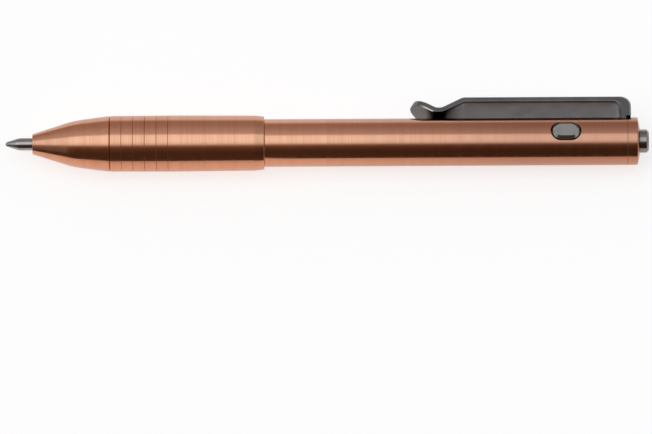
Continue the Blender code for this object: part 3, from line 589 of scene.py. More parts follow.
class PEN_OT_grip(bpy.types.Operator):
    """Grip section with its nose, grooves and threaded tenon"""

    bl_idname = "pen.grip"
    bl_label = "Grip section"

    def execute(self, context):
        # One closed profile, carried round the axis: over the outside from the nose's hole
        # to the tenon's thread, and back through the bore.
        sizes = context.scene.pen_sizes
        cone_end = NOSE_FACE + sizes.nose_cone
        grooves = cone_end + 7.78 * MM
        rear = BARREL_FRONT - SEAM
        swell = 0.07 * MM
        slim = GRIP_RADIUS - swell
        tenon, undercut, bore, narrow_bore = 3.85 * MM, 3.6 * MM, 3.1 * MM, 2.35 * MM
        outside = [
            (NOSE_FACE, NOSE_HOLE, BROKEN),
            (NOSE_FACE, 2.15 * MM, 0.12 * MM),
            (cone_end, 4.95 * MM, 20 * MM),
        ]
        for i in range(6):
            # The first groove is wider and deeper, as it also ends the nose's taper.
            half, deeper = (0.17 * MM, 1.22) if i == 0 else (0.055 * MM, 1)
            station, level = grooves + i * sizes.groove_pitch, slim + swell * i / 6
            outside += [
                (station - half, level, 0.03 * MM),
                (station, level - deeper * sizes.groove_depth, 0.02 * MM),
                (station + half, level, 0.03 * MM),
            ]
        outside += [
            (grooves + 13.5 * MM, GRIP_RADIUS, 8 * MM),
            (grooves + 31.1 * MM, GRIP_RADIUS - 0.12 * MM, 1 * MM),
            (rear, GRIP_RADIUS - 0.34 * MM, 0.12 * MM),
            (rear, undercut, BROKEN),
            (rear + 1.5 * MM, undercut, BROKEN),
            (rear + 1.75 * MM, tenon, BROKEN),
        ]
        profile, normals = rounded(outside + [
            (TENON_END, tenon, 0.15 * MM),
            (TENON_END, bore, BROKEN),
            (15.6 * MM, bore, BROKEN),
            (15.6 * MM, narrow_bore, BROKEN),
            (8.6 * MM, narrow_bore, BROKEN),
            (8.6 * MM, NOSE_HOLE, BROKEN),
        ])
        points, out = spun(profile, normals)
        # The thread is its own stretch of rows between the undercut and the tenon's end: the
        # tenon's radius plus the ridge's height, carried round the axis.
        station = np.linspace(rear + 1.8 * MM, TENON_END - 0.2 * MM, 150)[:, None]
        height = thread_height(station, TURN, rear + 2.5 * MM, 1.0 * MM, 5, 0.5 * MM)
        thread = placed(station, tenon + height, TURN)
        thread_out = grid_normals(thread)
        thread_out *= np.sign((thread_out * facing(0, 1, TURN)).sum(-1))[..., None]
        split = len(outside) * CORNER_ROWS
        points = np.concatenate([points[:split], thread, points[split:]])
        out = np.concatenate([out[:split], thread_out, out[split:]])
        skin = Skin()
        skin.grid(points, out, True, True)
        made = finish_piece("grip", skin, copper(True), "grip", "grip_section")
        # Tarnish grows with the depth below the grooved stretch's own surface.
        places = points - np.array([TIP_X + grooves, AXIS.y, AXIS.z])
        along, radius = places[..., 0], np.hypot(places[..., 1], places[..., 2])
        reach, margin = 5 * sizes.groove_pitch, 0.2 * MM
        level = slim + swell * np.clip(along / reach, 0, 1)
        sunk = (level - radius) / sizes.groove_depth
        grooved = (along > -margin) & (along < reach + margin) & (sunk < 2)
        write_share(made, "tarnish", np.where(grooved, np.clip(0.7 * sunk, 0, 1), 0))
        return {"FINISHED"}


def window_strip(edge, seat, rim, seat_rim, flip):
    """A window's bevel and wall, as rings of points and normals from rim to rim.

    rim and seat_rim hold the opening's edges in the outer face and in the seat, as plan
    places from the window's middle. Each ring's plan is a share between the rim and the
    window's stadium. A point's height is the root of the radius squared less its plan's
    width squared, less the bevel's drop, and its normal leans from the barrel's own
    towards the window's middle.
    """
    where = np.arctan2(rim[:, 1], rim[:, 0])
    half_length, half_width = 3.2 * MM, 2.1 * MM
    wide, _ = stadium_edge(where, half_length + edge, half_width + edge)
    close, away = stadium_edge(where, half_length, half_width)
    rings = [
        (rim * (1 - share) + wide * share, BARREL_RADIUS, 0.0, 0) for share in (0.35, 0.7, 0.9, 1.0)
    ]
    rings += [
        (wide * (1 - share) + close * share, BARREL_RADIUS, drop * edge, lean)
        for share, drop, lean in (
            (0.1, 0.01, 12), (0.4, 0.1, 35), (0.7, 0.3, 55), (0.95, 0.75, 80), (1.0, 1.0, 90)
        )
    ]
    rings += [
        (close, seat, 0.0, 90),
        (close, seat, 0.0, 180),
        (close * 0.3 + seat_rim * 0.7, seat, 0.0, 180),
    ]
    plan, level, drop, lean = (np.array(part) for part in zip(*rings))
    across, level, lean = plan[..., 1], level[:, None], np.radians(lean)[:, None, None]
    rise = np.sqrt(level ** 2 - across ** 2)
    up = stacked(0, across / level, rise / level * flip)
    inward = stacked(-away[:, 0], -away[:, 1], 0)
    points = in_pen(SIDE_BUTTON_STATION + plan[..., 0], across, (rise - drop[:, None]) * flip)
    return points, up * np.cos(lean) + inward * np.sin(lean)


class PEN_OT_barrel(bpy.types.Operator):
    """Barrel with its bore, its seat behind the thread and its two side windows"""

    bl_idname = "pen.barrel"
    bl_label = "Barrel"

    def execute(self, context):
        # One closed profile, carried round the axis, with an opening left out of its grid at
        # each window. A strip of rings fills what lies between the opening and the window.
        mouth, seat, bore = 4.45 * MM, 4.2 * MM, 3.8 * MM
        profile, normals = rounded([
            (BARREL_FRONT, mouth, 0.08 * MM),
            (BARREL_FRONT, BARREL_RADIUS, 0.12 * MM),
            (BARREL_REAR, BARREL_RADIUS, BROKEN),
            (BARREL_REAR, seat, BROKEN),
            (112.8 * MM, seat, BROKEN),
            (112.8 * MM, bore, BROKEN),
            (65.2 * MM, bore, BROKEN),
            (65.2 * MM, mouth, BROKEN),
        ])
        # Even rows past the windows, after the second corner outside and the fourth inside.
        window = SIDE_BUTTON_STATION + np.linspace(-4.1 * MM, 4.1 * MM, 25)
        count = len(window)
        outer, inner = 2 * CORNER_ROWS, 4 * CORNER_ROWS
        profile = np.concatenate([
            profile[:outer], stacked(window, BARREL_RADIUS),
            profile[outer:inner], stacked(window[::-1], seat), profile[inner:],
        ])
        normals = np.concatenate([
            normals[:outer], np.tile([0.0, 1.0], (count, 1)),
            normals[outer:inner], np.tile([0.0, -1.0], (count, 1)), normals[inner:],
        ])
        outer_row = outer + np.arange(count)
        inner_row = inner + count + np.arange(count)[::-1]
        points, out = spun(profile, normals)
        # Each opening is a fifth of a turn wide, and they lie half a turn apart.
        columns, half = TURN_STEPS, TURN_STEPS // 10
        faces = grid_faces(len(points), columns, True, True)
        row, column = faces[:, 0] // columns, faces[:, 0] % columns
        off_middle = (column + 0.5) % (columns // 2) - columns // 4
        outside = (row >= outer_row[0]) & (row < outer_row[-1])
        inside = (row >= inner_row[-1]) & (row < inner_row[0])
        skin = Skin()
        skin.add(points, out, faces[(np.abs(off_middle) >= half) | ~(outside | inside)])
        plans = points.reshape(-1, 3)[:, :2] - np.array([TIP_X + SIDE_BUTTON_STATION, AXIS.y])
        edge = context.scene.pen_sizes.window_edge
        for middle_column, flip in ((columns // 4, 1), (columns * 3 // 4, -1)):
            # The opening's edge: along the front, down one side, back and up.
            low, high = middle_column - half, middle_column + half
            side, down = np.arange(low, high), np.arange(count - 1)
            edge_row = np.concatenate([0 * side, down, 0 * side + count - 1, down[::-1] + 1])
            edge_column = np.concatenate([side, 0 * down + high, side[::-1] + 1, 0 * down + low])
            first = outer_row[edge_row] * columns + edge_column
            last = inner_row[edge_row] * columns + edge_column
            strip, strip_out = window_strip(edge, seat, plans[first], plans[last], flip)
            number = skin.count + np.arange(strip.size // 3).reshape(strip.shape[:2])
            skin.add(strip, strip_out, np.concatenate([
                grid_faces(len(strip), len(first), False, True, skin.count),
                ring_faces(first, number[0]),
                ring_faces(number[-1], last),
            ]))
        finish_piece("barrel_tube", skin, copper(False), "barrel_body", "barrel")
        return {"FINISHED"}


class PEN_OT_end_cap(bpy.types.Operator):
    """End cap with the hole that the push button slides in"""

    bl_idname = "pen.end_cap"
    bl_label = "End cap"

    def execute(self, context):
        # One closed profile, carried round the axis: the plug, the ring and the sloping face.
        plug, bore = 4.1 * MM, BUTTON_RADIUS + 0.1 * MM
        front, end = BARREL_REAR + SEAM, CAP_REAR + 0.22 * MM
        skin = revolve(*rounded([
            (PLUG_FRONT, bore, BROKEN),
            (PLUG_FRONT, plug, BROKEN),
            (front, plug, BROKEN),
            (front, BARREL_RADIUS, BROKEN),
            (end - 0.52 * MM, BARREL_RADIUS, 0.25 * MM),
            (end, bore + 0.2 * MM, 0.3 * MM),
            (end - 0.1 * MM, bore, BROKEN),
        ]))
        finish_piece("end_cap_ring", skin, copper(False), "barrel_body", "end_cap")
        return {"FINISHED"}


class PEN_OT_clip(bpy.types.Operator):
    """Pocket clip, bent from one bar, with bevelled edges and a leg that fits the barrel"""

    bl_idname = "pen.clip"
    bl_label = "Pocket clip"

    def execute(self, context):
        # A section carried along a path in the plane of the axis and the clip. The path is
        # rounded runs for the flared tip, the ramp and the straight, then a quarter circle
        # for the bend, as an inner and an outer line. A point lies between both lines by the
        # section's depth, and across the plane by its width.
        edge = context.scene.pen_sizes.clip_edge
        thick, wide = 1.42 * MM, 3.85 * MM
        rear, height = CLIP_REAR + 0.13 * MM, CLIP_HEIGHT + 0.09 * MM
        # The leg's length along the pen, and how far behind its front the step lies.
        leg, step_run = 2.2 * MM, 1.2 * MM
        leg_front = CLIP_REAR - leg
        contact = leg_front - 38.85 * MM
        flare_run, flare_rise, ramp_run = 5.70 * MM, 3.32 * MM, 5.38 * MM
        low, straight = BARREL_RADIUS - 0.43 * MM + thick / 2, height - thick / 2
        bend_in, bend_out = 2.05 * MM, 2.25 * MM
        line, lift = rounded([
            (contact - flare_run, low + flare_rise, 0.0),
            (contact, low, 3.0 * MM),
            (contact + ramp_run, straight, 1.4 * MM),
            (leg_front - bend_in, straight, 0.0),
        ], closed=False, steps=10)
        # Extra stations in the half-circle tip, at even turns of its outline.
        tip = wide * (1 - np.cos(np.linspace(0, math.pi / 2, 24)))[1:, None]
        ahead = (line[1] - line[0]) / np.linalg.norm(line[1] - line[0])
        line = np.concatenate([line[:1], line[0] + ahead * tip, line[1:-1]])
        lift = np.concatenate([lift[:1], lift[0] + 0 * tip, lift[1:-1]])
        quarter = np.linspace(math.pi / 2, 0, 25)
        spoke = stacked(np.cos(quarter), np.sin(quarter))
        inner_centre = np.array([leg_front - bend_in, height - thick - bend_in])
        outer_centre = np.array([rear - bend_out, height - bend_out])
        inner = np.concatenate([line - lift * thick / 2, inner_centre + spoke * bend_in])
        outer = np.concatenate([line + lift * thick / 2, outer_centre + spoke * bend_out])
        lift = np.concatenate([lift, spoke])
        # The half-circle tip: the half width is the full one times the root of 1 less the
        # share squared, and the share falls from 1 to 0 over one half width of the run.
        steps = np.linalg.norm(np.diff((inner + outer) / 2, axis=0), axis=1)
        run = np.concatenate([[0], np.cumsum(steps)])
        share = np.clip(1 - run / wide, 0, 1)[:, None]
        half = np.maximum(wide * np.sqrt(1 - share ** 2), 0.02 * MM)

        # The section, as depth from the inner face and width: a bevelled rectangle with
        # softened edges, and with two close points where the leg's end has its step.
        step = step_run / leg * thick
        soft, crisp, hair = 0.22 * MM, 0.12 * MM, 0.004 * MM
        across = np.linspace(-1, 1, 15)[1:-1] * (wide - edge)

        def bar_section(deep, inset):
            """The section whose inner edges are cut away deep down the sides and inset across."""
            return rounded([
                (0, inset - wide, crisp), *[(0, at, 0) for at in across], (0, wide - inset, crisp),
                (deep, wide, soft), (step - hair, wide, 0), (step + hair, wide, 0),
                (thick - edge, wide, crisp), (thick, wide - edge, crisp),
                *[(thick, -at, 0) for at in across],
                (thick, edge - wide, crisp), (thick - edge, -wide, crisp),
                (step + hair, -wide, 0), (step - hair, -wide, 0), (deep, -wide, soft),
            ])

        # Where the tip turns up, the inner edges are cut steeper, and catch the light.
        ring, ring_out = bar_section(edge, edge)
        steep, steep_out = bar_section(0.26 * MM, 0.10 * MM)
        fade_in, fade_out = (run - 2.0 * MM) / (1.5 * MM), (6.0 * MM - run) / (0.8 * MM)
        turned_up = np.clip(np.minimum(fade_in, fade_out), 0, 1)[:, None, None]
        rings = ring + (steep - ring) * turned_up
        outs = ring_out + (steep_out - ring_out) * turned_up
        flat = inner[:, None] + (outer - inner)[:, None] * rings[..., :1] / thick
        points = in_pen(flat[..., 0], flat[..., 1], rings[..., 1] * (half / wide))
        # The sides' normals turn back along the path with the tip's round outline.
        forward = -left_of(lift)
        back = -np.abs(outs[..., 1:]) * share[..., None]
        normal = lift[:, None] * outs[..., :1] + forward[:, None] * back
        normals = stacked(normal[..., 0], normal[..., 1], outs[..., 1] * np.sqrt(1 - share ** 2))
        # The leg's end: the same section, cut to the barrel's roundness in front of the step,
        # and half a millimetre higher at both sides behind it. Its height is the root of the
        # barrel's radius and gap squared less the width squared.
        front_gap, rear_gap, rib = 0.1 * MM, 0.6 * MM, 2.3 * MM
        depth, aside = ring[:, 0], ring[:, 1]
        gap = np.where((depth < step) | (np.abs(aside) < rib), front_gap, rear_gap)
        end = in_pen(
            leg_front + depth / thick * (rear - leg_front),
            np.sqrt((BARREL_RADIUS + gap) ** 2 - aside ** 2),
            aside,
        )
        points = np.concatenate([points, end[None]])
        skin = Skin()
        skin.grid(points, np.concatenate([normals, normals[-1:]]), False, True)
        skin.disc(points[0], (-forward[0, 0], -forward[0, 1], 0))
        # The saddle under the leg, on both sides of the step, and the step's own wall.
        width = np.concatenate([[-wide], across, [wide]])
        recess = np.where(np.abs(width) < rib, front_gap, rear_gap)
        step_share = step / thick
        for shares, gaps in (
            ((0.0, step_share), (front_gap, front_gap)),
            ((step_share, 1.0), (recess, recess)),
            ((step_share, step_share), (front_gap, recess)),
        ):
            station = leg_front + np.array(shares)[:, None] * (rear - leg_front)
            reach = np.stack([BARREL_RADIUS + gap + 0 * width for gap in gaps])
            up = np.sqrt(reach ** 2 - width ** 2)
            wall = shares[0] == shares[1]
            skin.grid(in_pen(station, up, width), (1, 0, 0) if wall else stacked(0, -up, -width))
        # Titanium, blasted with beads and anodised dark grey: matt, with a soft sheen. A painted
        # highlight lightens the tip's steep edges, and painted shade darkens the inner face near
        # the barrel.
        covers = [("painted_glint", linear("E2E2E0")), ("contact_shade", linear("141211"))]
        surface = blasted_metal(
            "blasted_titanium", 0.85, chosen("clip"), linear("777D7E"), 0.24, covers
        )
        made = finish_piece("clip_bar", skin, surface, "clip", "pocket_clip")
        # A painted highlight on the steeper edges of the tip, where the normal leans inwards and
        # sideways.
        steep_edge = (outs[..., 0] < -0.12) & (np.abs(outs[..., 1]) > 0.45)
        write_share(made, "painted_glint", turned_up[..., 0] * steep_edge)
        # Painted shade on the inner face, where the flare comes down close to the barrel.
        from_contact = np.abs(run - np.hypot(flare_run, flare_rise))
        near = np.clip((2.1 * MM - from_contact) / (0.5 * MM), 0, 1)[:, None]
        write_share(made, "contact_shade", near * (outs[..., 0] < -0.5))
        return {"FINISHED"}


class PEN_OT_push_button(bpy.types.Operator):
    """Push button at the rear end"""

    bl_idname = "pen.push_button"
    bl_label = "Push button"

    def execute(self, context):
        # A profile from axis to axis, carried round it, with a bevel before the flat end.
        bevel = 0.47 * MM
        skin = revolve(*rounded([
            (BUTTON_FRONT, 0.0, 0.0),
            (BUTTON_FRONT, BUTTON_RADIUS, BROKEN),
            (PEN_REAR - bevel, BUTTON_RADIUS, 0.12 * MM),
            (PEN_REAR, BUTTON_RADIUS - bevel, 0.12 * MM),
            (PEN_REAR, 0.0, 0.0),
        ], closed=False), closed=False)
        # Titanium, turned: grey, with fine rings that draw its highlights out along the pen.
        # Its feed marks are about 0.05 mm apart, drawn at 0.25 mm so that they show.
        surface = turned_metal(
            "turned_titanium", chosen("push_button"), linear("91908E"), 0.12, 0.25 * MM, 0.001 * MM
        )
        finish_piece("push_button_knob", skin, surface, "plunger", "push_button")
        return {"FINISHED"}


class PEN_OT_side_buttons(bpy.types.Operator):
    """The two side buttons, bevelled stadiums in the barrel's windows"""

    bl_idname = "pen.side_buttons"
    bl_label = "Side buttons"

    def execute(self, context):
        # Rings of a stadium's edge. Each ring is inset from the button's outline and dropped
        # from its face, and its normal leans outwards from the face's own by so many degrees.
        edge = context.scene.pen_sizes.button_edge
        rings = (
            (edge + 0.05 * MM, 0.0, 0),
            (edge - 0.02 * MM, 0.01 * MM, 45),
            (0.03 * MM, edge - 0.04 * MM, 45),
            (0.0, edge + 0.03 * MM, 90),
            (0.0, 1.08 * MM, 90),
        )
        # Titanium, blasted finely and rubbed by thumbs: pale grey with a satin gloss.
        surface = blasted_metal(
            "satin_titanium", 1.0, chosen("side_button"), linear("B6C0C0"), 0.18
        )
        for side, name in ((1, "upper"), (-1, "lower")):
            points, normals = [], []
            for inset, drop, lean in rings:
                plan, away = stadium_edge(circle(144), 3.0 * MM - inset, 2.0 * MM - inset)
                sin, cos = math.sin(math.radians(lean)), math.cos(math.radians(lean))
                height = side * (SIDE_BUTTON_HEIGHT - drop)
                points.append(in_pen(SIDE_BUTTON_STATION + plan[:, 0], plan[:, 1], height))
                normals.append(stacked(away[:, 0] * sin, away[:, 1] * sin, side * cos))
            skin = Skin()
            skin.grid(np.stack(points), np.stack(normals), False, True)
            skin.disc(points[0], (0, 0, side))
            skin.disc(points[-1], (0, 0, -side))
            finish_piece(
                f"side_button_cap_{name}", skin, surface,
                f"release_{name}", f"side_button_{name}",
            )
        return {"FINISHED"}


class PEN_OT_refill(bpy.types.Operator):
    """The refill's steel point with its ball, and the spring round it"""

    bl_idname = "pen.refill"
    bl_label = "Refill point"

    def execute(self, context):
        # The point: a profile from axis to axis, carried round it. It has a socket for the
        # ball, a cone, the straight tube and the plug that goes into the refill's own tube.
        socket, lip, shoulder, plug, end = 0.75 * MM, 0.36 * MM, 16.0 * MM, 2.2 * MM, 20.5 * MM
        skin = revolve(*rounded([
            (socket, 0.0, 0.0),
            (socket, 0.30 * MM, 0.01 * MM),
            (lip, 0.31 * MM, 0.01 * MM),
            (lip, 0.41 * MM, 0.03 * MM),
            (3.1 * MM, POINT_RADIUS, 4.5 * MM),
            (shoulder, POINT_RADIUS, BROKEN),
            (shoulder, plug, BROKEN),
            (end, plug, BROKEN),
            (end, 0.0, 0.0),
        ], closed=False), closed=False)
        # Stainless steel, turned: bright, with fine rings that draw its highlights out along
        # the pen. Its feed marks are about 0.05 mm apart, drawn at 0.2 mm so that they show.
        steel = turned_metal(
            "turned_steel", chosen("point"), linear("A8A8A7"), 0.15, 0.2 * MM, 0.001 * MM
        )
        finish_piece("refill_point", skin, steel, "refill", "refill_nose")

        # The ball: a half circle of the ball's radius, carried round the axis.
        ball, start = 0.3 * MM, 0.2 * MM
        latitude = np.linspace(0, math.pi, 33)
        out = stacked(-np.cos(latitude), np.sin(latitude))
        skin = revolve(np.array([start + ball, 0]) + ball * out, out, False, circle(48)[None, :])
        # Tungsten carbide, ground: dark grey, and as smooth as a mirror.
        carbide = plain("ground_carbide", "8C8C8E", 0.2, 0.1 * MM, {"Metallic": 1.0})
        finish_piece("point_ball", skin, carbide, "refill", "writing_ball")

        # The spring: a circle of the wire's radius, carried along a helix of the coil's
        # radius. The first and last turn lie close, and the free length is shared evenly by
        # the turns between them.
        wire, coil, turns = 0.18 * MM, 1.85 * MM, 8
        start, end = stations("return_spring")
        wound = np.linspace(0, turns, turns * 48 + 1)[:, None]
        live = np.clip(wound - 1, 0, turns - 2)
        close_pitch = wire * 2 + 0.05 * MM
        free_pitch = (end - start - wire * 2 - close_pitch * 2) / (turns - 2)
        along = start + wire + close_pitch * (wound - live) + free_pitch * live
        around = circle(12)[None, :]
        points = placed(
            along + wire * np.sin(around), coil + wire * np.cos(around), wound * math.tau
        )
        skin = Skin()
        skin.grid(points, facing(np.sin(around), np.cos(around), wound * math.tau), False, True)
        skin.disc(points[0], (points[0] - points[1]).mean(axis=0))
        skin.disc(points[-1], (points[-1] - points[-2]).mean(axis=0))
        spring = finish_piece(
            "spring_coil", skin, spring_wire(), None, "return_spring"
        )
        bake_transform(spring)
        return {"FINISHED"}


class PEN_OT_leaf_springs(bpy.types.Operator):
    """The two leaf springs that bend under the side buttons"""

    bl_idname = "pen.leaf_springs"
    bl_label = "Leaf springs"

    def execute(self, context):
        # A rectangle with softened corners, carried straight from its fixed end.
        for name in ("upper", "lower"):
            node = f"side_button_spring_{name}"
            low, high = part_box(node)
            soft = 0.03 * MM
            section, out = rounded([
                (low.y, low.z, soft), (low.y, high.z, soft),
                (high.y, high.z, soft), (high.y, low.z, soft),
            ])
            points = stacked(np.linspace(low.x, high.x, 40)[:, None], section[:, 0], section[:, 1])
            skin = Skin()
            skin.grid(points, stacked(0, out[:, 0], out[:, 1]), False, True)
            skin.disc(points[0], (-1, 0, 0))
            skin.disc(points[-1], (1, 0, 0))
            leaf = finish_piece(
                f"leaf_spring_{name}", skin, spring_wire(), None, node
            )
            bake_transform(leaf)
        return {"FINISHED"}


class PEN_OT_catch(bpy.types.Operator):
    """The catch: a spring bent like a hairpin, with a hook on each arm that holds the plunger"""

    bl_idname = "pen.catch"
    bl_label = "Catch"

    def execute(self, context):
        low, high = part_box("catch_spring")
        reach = (high.z - low.z) / 2
        # One arm from the bend to its hook, as rows of place along the pen, outer height and
        # inner height. The other arm has the heights below the axis.
        arm = np.array([
            (low.x, 0.95 * MM, 0.70 * MM),
            (high.x - 2.0 * MM, 2.10 * MM, 1.85 * MM),
            (high.x - 1.0 * MM, reach, 1.85 * MM),
            (high.x, reach, 1.85 * MM),
        ])
        both = np.concatenate([arm[::-1] * (1, -1, -1), arm])
        outer, inner = both[:, :2], both[:, [0, 2]].copy()
        # The bend is as thick as the arms.
        inner[np.abs(both[:, 1]) < 1 * MM, 0] += 0.25 * MM
        sides = np.stack([outer, outer, inner, inner], axis=1)
        across = np.array([low.y, high.y, high.y, low.y])
        rows = stacked(sides[..., 0], across, AXIS.z + sides[..., 1])
        # Flat faces between neighbouring rows, and one over each arm's end. A face's normal
        # is the cross product of its diagonals, turned away from the middle of its rows.
        beside = np.roll(rows, -1, axis=1)
        flats = np.stack([rows[:-1], beside[:-1], beside[1:], rows[1:]], axis=2).reshape(-1, 4, 3)
        flats = np.concatenate([flats, rows[:1], rows[-1:]])
        out = np.cross(flats[:, 2] - flats[:, 0], flats[:, 3] - flats[:, 1])
        out /= np.linalg.norm(out, axis=1)[:, None]
        centres = rows.mean(axis=1)
        middles = np.concatenate([
            np.repeat((centres[:-1] + centres[1:]) / 2, 4, axis=0), centres[[1, -2]]
        ])
        out *= np.sign(((flats.mean(axis=1) - middles) * out).sum(axis=1))[:, None]
        skin = Skin()
        skin.add(flats, out[:, None], np.arange(flats.size // 3).reshape(-1, 4))
        made = finish_piece(
            "catch_hairpin", skin, spring_wire(), "plunger", "catch_spring"
        )
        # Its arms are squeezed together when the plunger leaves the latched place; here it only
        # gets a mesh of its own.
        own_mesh(made)
        return {"FINISHED"}


class PEN_OT_seal(bpy.types.Operator):
    """The rubber ring between the grip section and the barrel"""

    bl_idname = "pen.seal"
    bl_label = "Seal"

    def execute(self, context):
        # A circle of the cord's radius, carried round the axis.
        front, rear = stations("grip_oring")
        cord = (rear - front) / 2
        around = circle(24)
        out = stacked(np.cos(around), np.sin(around))
        centre = np.array([(front + rear) / 2, outer_radius("grip_oring") - cord])
        skin = revolve(centre + cord * out, out, turn=circle(144)[None, :])
        # Nitrile rubber, moulded: black and dull.
        rubber = plain("moulded_nitrile", "161616", 0.55, 0.15 * MM, {"IOR": 1.52})
        finish_piece("seal_ring", skin, rubber, "grip_carrier", "grip_oring")
        return {"FINISHED"}


class PEN_OT_inner_pieces(bpy.types.Operator):
    """Finishes for the CAD solids inside the pen, which keep their own shape"""

    bl_idname = "pen.inner_pieces"
    bl_label = "Inner pieces"

    def execute(self, context):
        # Brass, turned: yellow, with rings that draw its highlights out along the pen. Its
        # feed marks are about 0.1 mm apart, drawn at 0.3 mm so that they show.
        brass = turned_metal(
            "turned_brass", linear("D9B25F"), linear("B98F45"), 0.25, 0.3 * MM, 0.001 * MM
        )
        # Acetal, moulded: near black, with a soft, slightly waxy sheen.
        acetal = plain("moulded_acetal", "1C1C1D", 0.42, 0.2 * MM, {"IOR": 1.48})
        # Polypropylene, extruded: milky white and smooth.
        tube = plain("extruded_polypropylene", "D8D8D4", 0.35, 0.4 * MM, {"IOR": 1.49})
        # Ink: blue black, and glossy because it is wet.
        ink = plain("black_ink", "10142E", 0.15, 0.4 * MM, {"IOR": 1.4})
        for surface, names in (
            (brass, ("mechanism_sleeve", "plunger_rod")),
            (spring_wire(), ("plunger_pin",)),
            (acetal, ("refill_cup",)),
            (tube, ("refill_tube", "refill_plug")),
            (ink, ("ink_column",)),
        ):
            for name in names:
                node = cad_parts[name]
                if not node.material_slots:
                    node.data.materials.append(None)
                for slot in node.material_slots:
                    slot.material = surface
        return {"FINISHED"}


# ---------------------------------------------------------------- stage

FLOOR_REACH = 6.0


def lay_floor():
    """A flat square round the origin, in matt card: pale and without gloss, with a shadow.

    The camera sees it lifted towards white. The metal sees it with a glow by the distance
    in front of the pen, brightest beside the pen and browner towards the dark card.
    """
    reach = FLOOR_REACH
    mesh = bpy.data.meshes.new("floor")
    corners = [(-reach, -reach, 0), (reach, -reach, 0), (reach, reach, 0), (-reach, reach, 0)]
    mesh.from_pydata(corners, [], [(0, 1, 2, 3)])
    floor = new_object("floor", mesh)
    card = bpy.data.materials.new("matt_card")
    tree = cleared(card)
    diffuse = add_node(tree, "ShaderNodeBsdfDiffuse", {"Color": chosen("floor")})
    path = add_node(tree, "ShaderNodeLightPath").outputs
    seen = {0: path["Is Camera Ray"], 1: 0.68}
    lift = add_node(tree, "ShaderNodeMath", seen, operation="MULTIPLY")
    lifted = add_node(tree, "ShaderNodeEmission", {"Strength": lift})
    place = add_node(tree, "ShaderNodeTexCoord").outputs["Object"]
    across = add_node(tree, "ShaderNodeSeparateXYZ", {"Vector": place}).outputs["Y"]
    # The glow's colours by their place across the pen in millimetres.
    far, near = -34, -9
    span = {"Value": across, "From Min": far * MM, "From Max": near * MM}
    bounced = add_node(
        tree, "ShaderNodeValToRGB", {"Fac": add_node(tree, "ShaderNodeMapRange", span)}
    )
    set_stops(bounced, [
        ((y - far) / (near - far), linear(colour)[:3])
        for y, colour in ((-33, "7C6959"), (-23, "90715F"), (-20, "AC7A55"), (-9, "ABA4A7"))
    ])
    glow = add_node(
        tree, "ShaderNodeEmission", {"Color": bounced, "Strength": path["Is Glossy Ray"]}
    )
    light = add_node(tree, "ShaderNodeAddShader", {0: lifted, 1: glow})
    both = add_node(tree, "ShaderNodeAddShader", {0: diffuse, 1: light})
    add_node(tree, "ShaderNodeOutputMaterial", {"Surface": both})
    # The lift and the glow are no lamps, so they aren't sampled as such.
    card.cycles.emission_sampling = "NONE"
    mesh.materials.append(card)


def lay_dark_card():
    """A flat dark sheet on the floor in front of the pen, which only its metal sees.

    Its near edge steps in and out along the pen, where the edges of the dark zones in the
    metal's reflections do. The edge is given as places along the pen and distances in
    front of it, in millimetres.
    """
    reach = FLOOR_REACH / MM
    edge = np.array([
        (-reach, 21.5), (-75, 21.5), (-62, 27), (-55, 33),
        (-13.4, 33), (-10, 25.5), (70, 27), (reach, 27),
    ]) * MM
    lift, count = 0.3 * MM, len(edge)
    near = [(x, -distance, lift) for x, distance in edge]
    far = [(x, -FLOOR_REACH, lift) for x, _ in edge]
    mesh = bpy.data.meshes.new("dark_card")
    faces = [(i, count + i, count + i + 1, i + 1) for i in range(count - 1)]
    mesh.from_pydata(near + far, [], faces)
    dark = new_object("dark_card", mesh)
    # Felt, pressed from brown wool: no gloss at all, so the metal mirrors one dark tone.
    felt = {"Base Color": linear("634B3A"), "Roughness": 1.0, "Specular IOR Level": 0.0}
    mesh.materials.append(new_material("dark_felt", felt)[0])
    dark.visible_camera = dark.visible_diffuse = dark.visible_shadow = False


